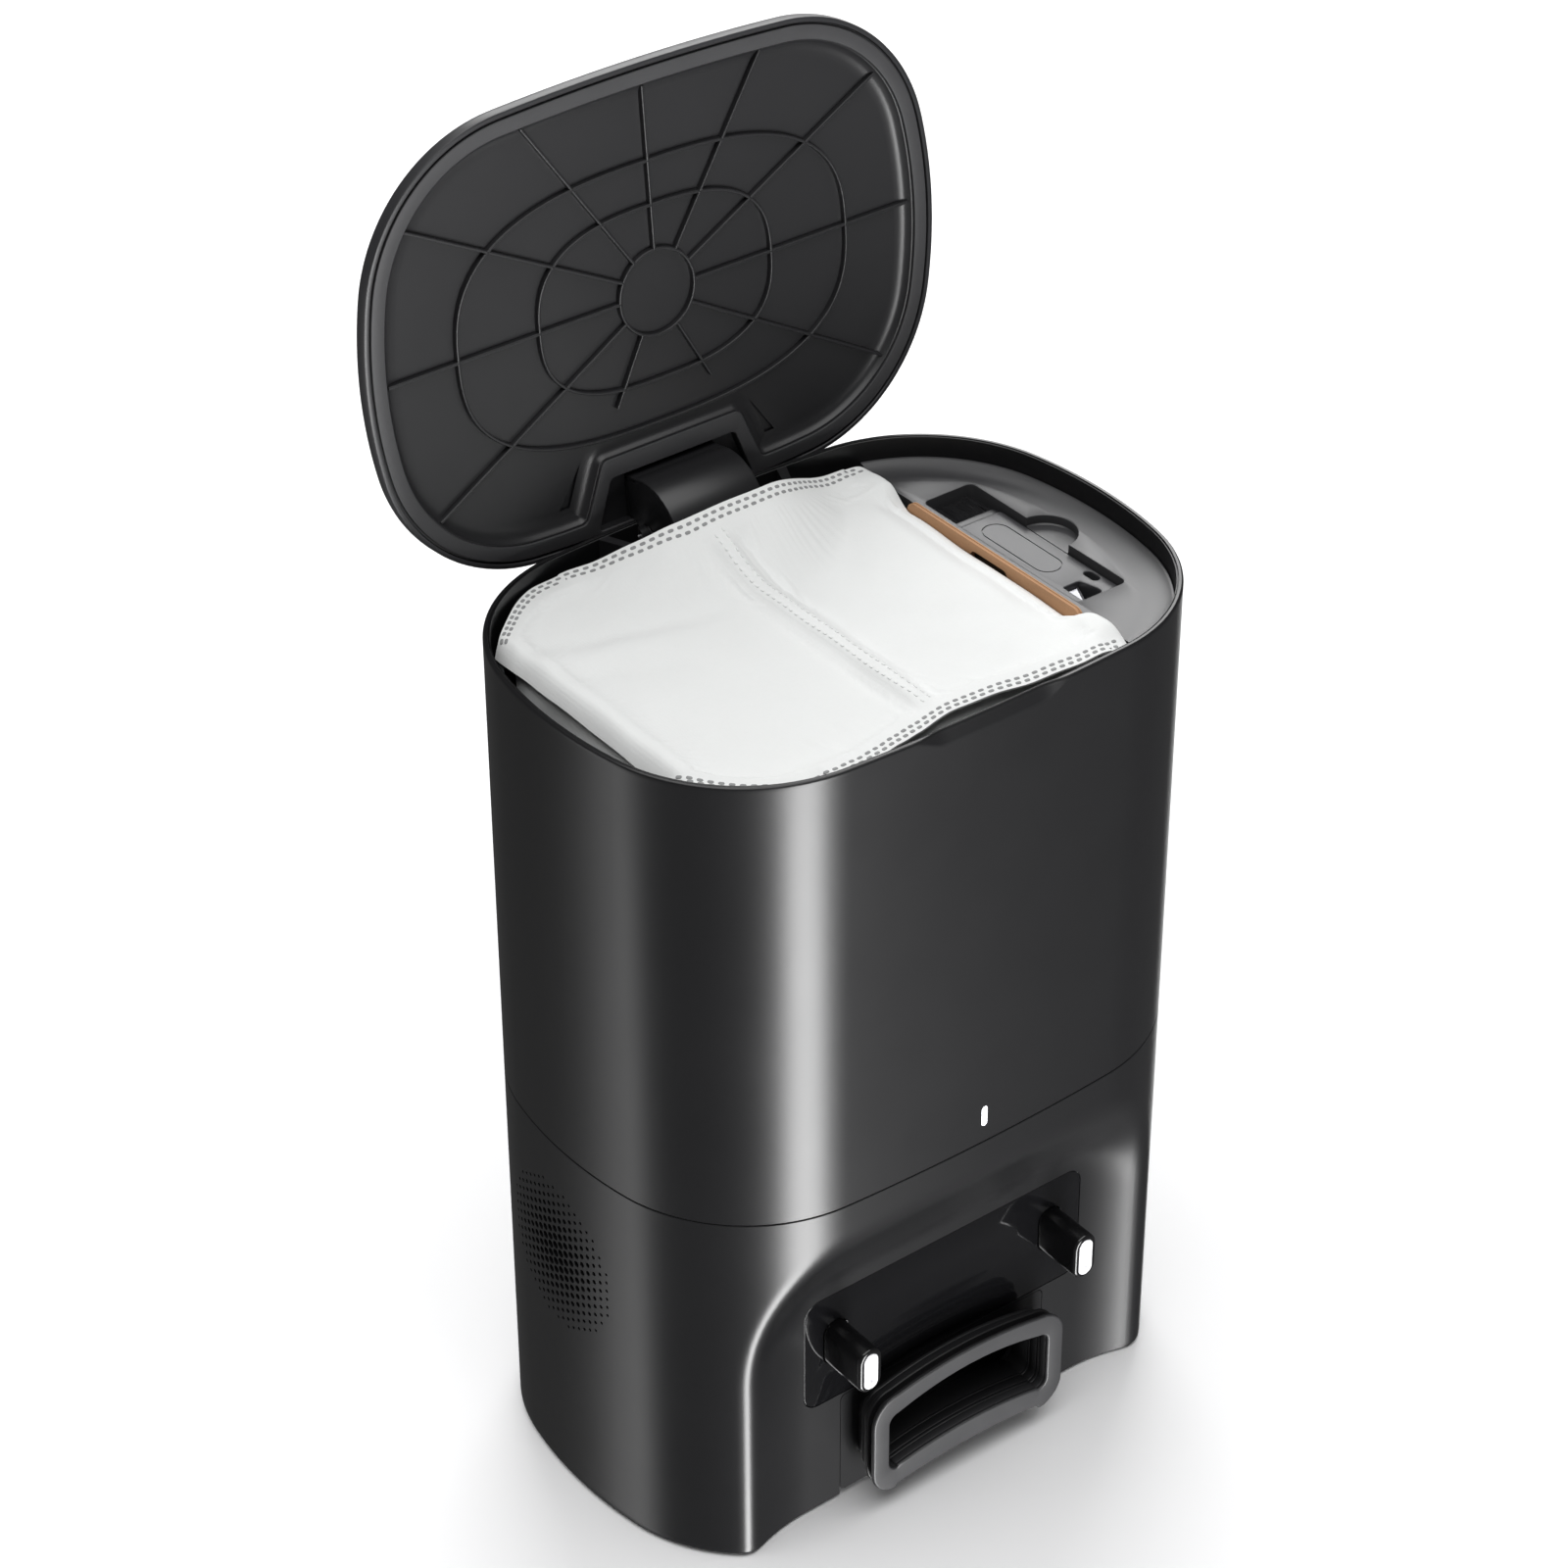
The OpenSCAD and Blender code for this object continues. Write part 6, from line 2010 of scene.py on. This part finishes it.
    def board(self) -> bpy.types.Object:
        """The kraft collar that slides into the guides, with its finger slot.

        Returns:
            The collar.
        """
        x0, x1, y0, y1, z0, z1 = self.collar
        y, z, r = self.bore
        outline = rounded([(y0, z0, 4), (y1, z0, 4), (y1, z1, 5), (y0, z1, 5)], 8)
        hole = arc((y, z), r, 0, 360, 72)[:-1]
        slot = round_box(y - 10, z1 - 10, y + 14, z1 - 4, 2.9)
        layers = []
        for k in range(3):
            a = x0 + (x1 - x0) * k / 3
            layers.append(plate("l", [offset(outline, -0.25 * (k % 2)), hole, slot], a + 0.02, a + 0.8, 0.18,
                Facing.RIGHT, steps=2))
        return mount(merged("bag_collar_board", layers), KRAFT, "bag", "bag_collar")

    def build(self) -> None:
        """Makes every piece of the bag."""
        self.top()
        self.welds()
        self.pouch()
        self.board()


# ---- Studio --------------------------------------------------------------------------
@dataclass(frozen=True)
class Softbox:
    """A rectangular light aimed at the middle of the object; angles are in degrees."""

    name: str
    azimuth: float
    height: float
    distance: float
    size: tuple[float, float]
    power: float
    aim: float = 0.25

    def build(self) -> None:
        """Hangs the light."""
        lamp = bpy.data.lights.new(self.name, "AREA")
        lamp.shape, lamp.size, lamp.size_y, lamp.energy = "RECTANGLE", self.size[0], self.size[1], self.power
        a = math.radians(self.azimuth)
        place = Vector((math.cos(a) * self.distance, math.sin(a) * self.distance, self.height))
        light = bpy.data.objects.new(self.name, lamp)
        light.location = place
        light.rotation_euler = (Vector((0, 0, self.aim)) - place).to_track_quat("-Z", "Y").to_euler()
        light.visible_camera = False
        bpy.context.scene.collection.objects.link(light)


@dataclass
class Studio:
    """A pale floor, soft lights and the camera."""

    azimuth: float = -37.793
    elevation: float = 34.863
    distance: float = 1.80305
    target: tuple[float, float, float] = (-0.01568, 0.00096, 0.31855)
    lens: float = 98.58
    shift: tuple[float, float] = (-0.0133, 0.0071)
    floor_half: float = 9000.0

    def floor(self) -> None:
        """A wide pale floor."""
        shader = Shader("studio_floor")
        cloud = shader.noise(3.0, 2.0)
        shader.set(Base_Color=shader.mix(cloud, rgba((0.93, 0.93, 0.935)), rgba((0.95, 0.95, 0.955))),
            Roughness=0.7, Specular_IOR_Level=0.2)
        r = self.floor_half
        corners = np.array([(-r, -r, 0), (r, -r, 0), (r, r, 0), (-r, r, 0)], float)
        piece = piece_of("studio_floor", corners, [(0, 1, 2, 3)])
        piece.data.materials.append(shader.material)
        piece.visible_glossy = False
        piece.visible_shadow = False

    def lights(self) -> None:
        """Soft lights round the object and a plain pale world."""
        for light in (
            Softbox("key_front", 268, -0.9, 2.2, (0.80, 3.4), 165.0, 0.25),
            Softbox("fill_left", 155, -0.9, 2.4, (0.8, 3.0), 15.0, 0.25),
            Softbox("rim_right", 42, -0.6, 2.4, (1.2, 3.0), 22.0, 0.25),
            Softbox("top_back", 52, 1.9, 2.4, (1.8, 1.2), 42.0, 0.35),
            Softbox("top", 200, 5.0, 0.4, (6.0, 6.0), 330.0, 0.0),
        ):
            light.build()
        world = bpy.data.worlds.new("studio_air")
        bpy.context.scene.world = world
        world.use_nodes = True
        back = world.node_tree.nodes["Background"]
        back.inputs["Color"].default_value = (1, 1, 1, 1)
        back.inputs["Strength"].default_value = 0.10
        bpy.context.scene.view_settings.view_transform = "Standard"

    def camera(self) -> None:
        """The camera at the product's three-quarter view."""
        lens = bpy.data.cameras.new("studio_camera")
        lens.lens, lens.sensor_width, lens.shift_x, lens.shift_y = self.lens, 36.0, *self.shift
        lens.clip_start, lens.clip_end = 0.05, 40.0
        a, e = math.radians(self.azimuth), math.radians(self.elevation)
        back = Vector((math.sin(a) * math.cos(e), -math.cos(a) * math.cos(e), math.sin(e)))
        camera = bpy.data.objects.new("studio_camera", lens)
        camera.location = Vector(self.target) + back * self.distance
        camera.rotation_euler = back.to_track_quat("Z", "Y").to_euler()
        bpy.context.scene.collection.objects.link(camera)
        bpy.context.scene.camera = camera

    def build(self) -> None:
        """Sets the whole studio."""
        self.floor()
        self.lights()
        self.camera()


def dress_frame() -> None:
    """Gives every CAD node that keeps its own shape the finish of its slot."""
    by_slot = {finish.slot: finish for finish in (
        CASING, UNDERSIDE, FOOT, SCREW, GLOSS, ARM_BLACK, INNER, CHROME_AND_PAINTED_SHINE, SPRING, LIP, SEAL, MOTOR, SHAFT, IMPELLER,
        FILTER_PAINTED_SHADE, FOAM, BOARD, INLET, LAMP, CHAMBER, DECK, TOOL, BRISTLE, BLADE, FLEECE, KRAFT, GASKET, LID_SKIN,
        LID_INSIDE, BAND, HINGE,
    )}
    for part in frame["record"]["subparts"]:
        finish = by_slot[part["material_slot"]]
        dress_nodes(finish, part["node"])
        log.info("%s: dressed as %s", part["node"], finish.name)


def main() -> None:
    """Builds the looks of the whole station."""
    logging.basicConfig(level=logging.INFO, format="%(message)s")
    dress_frame()
    BaseShell().build()
    casing = UpperCasing()
    casing.build()
    casing.light()
    DockPanel().build()
    SuctionPort().build()
    ToolDeck().build()
    CleaningTool().build()
    Lid().build()
    DustBag().build()
    Studio().build()


if __name__ == "__main__":
    main()
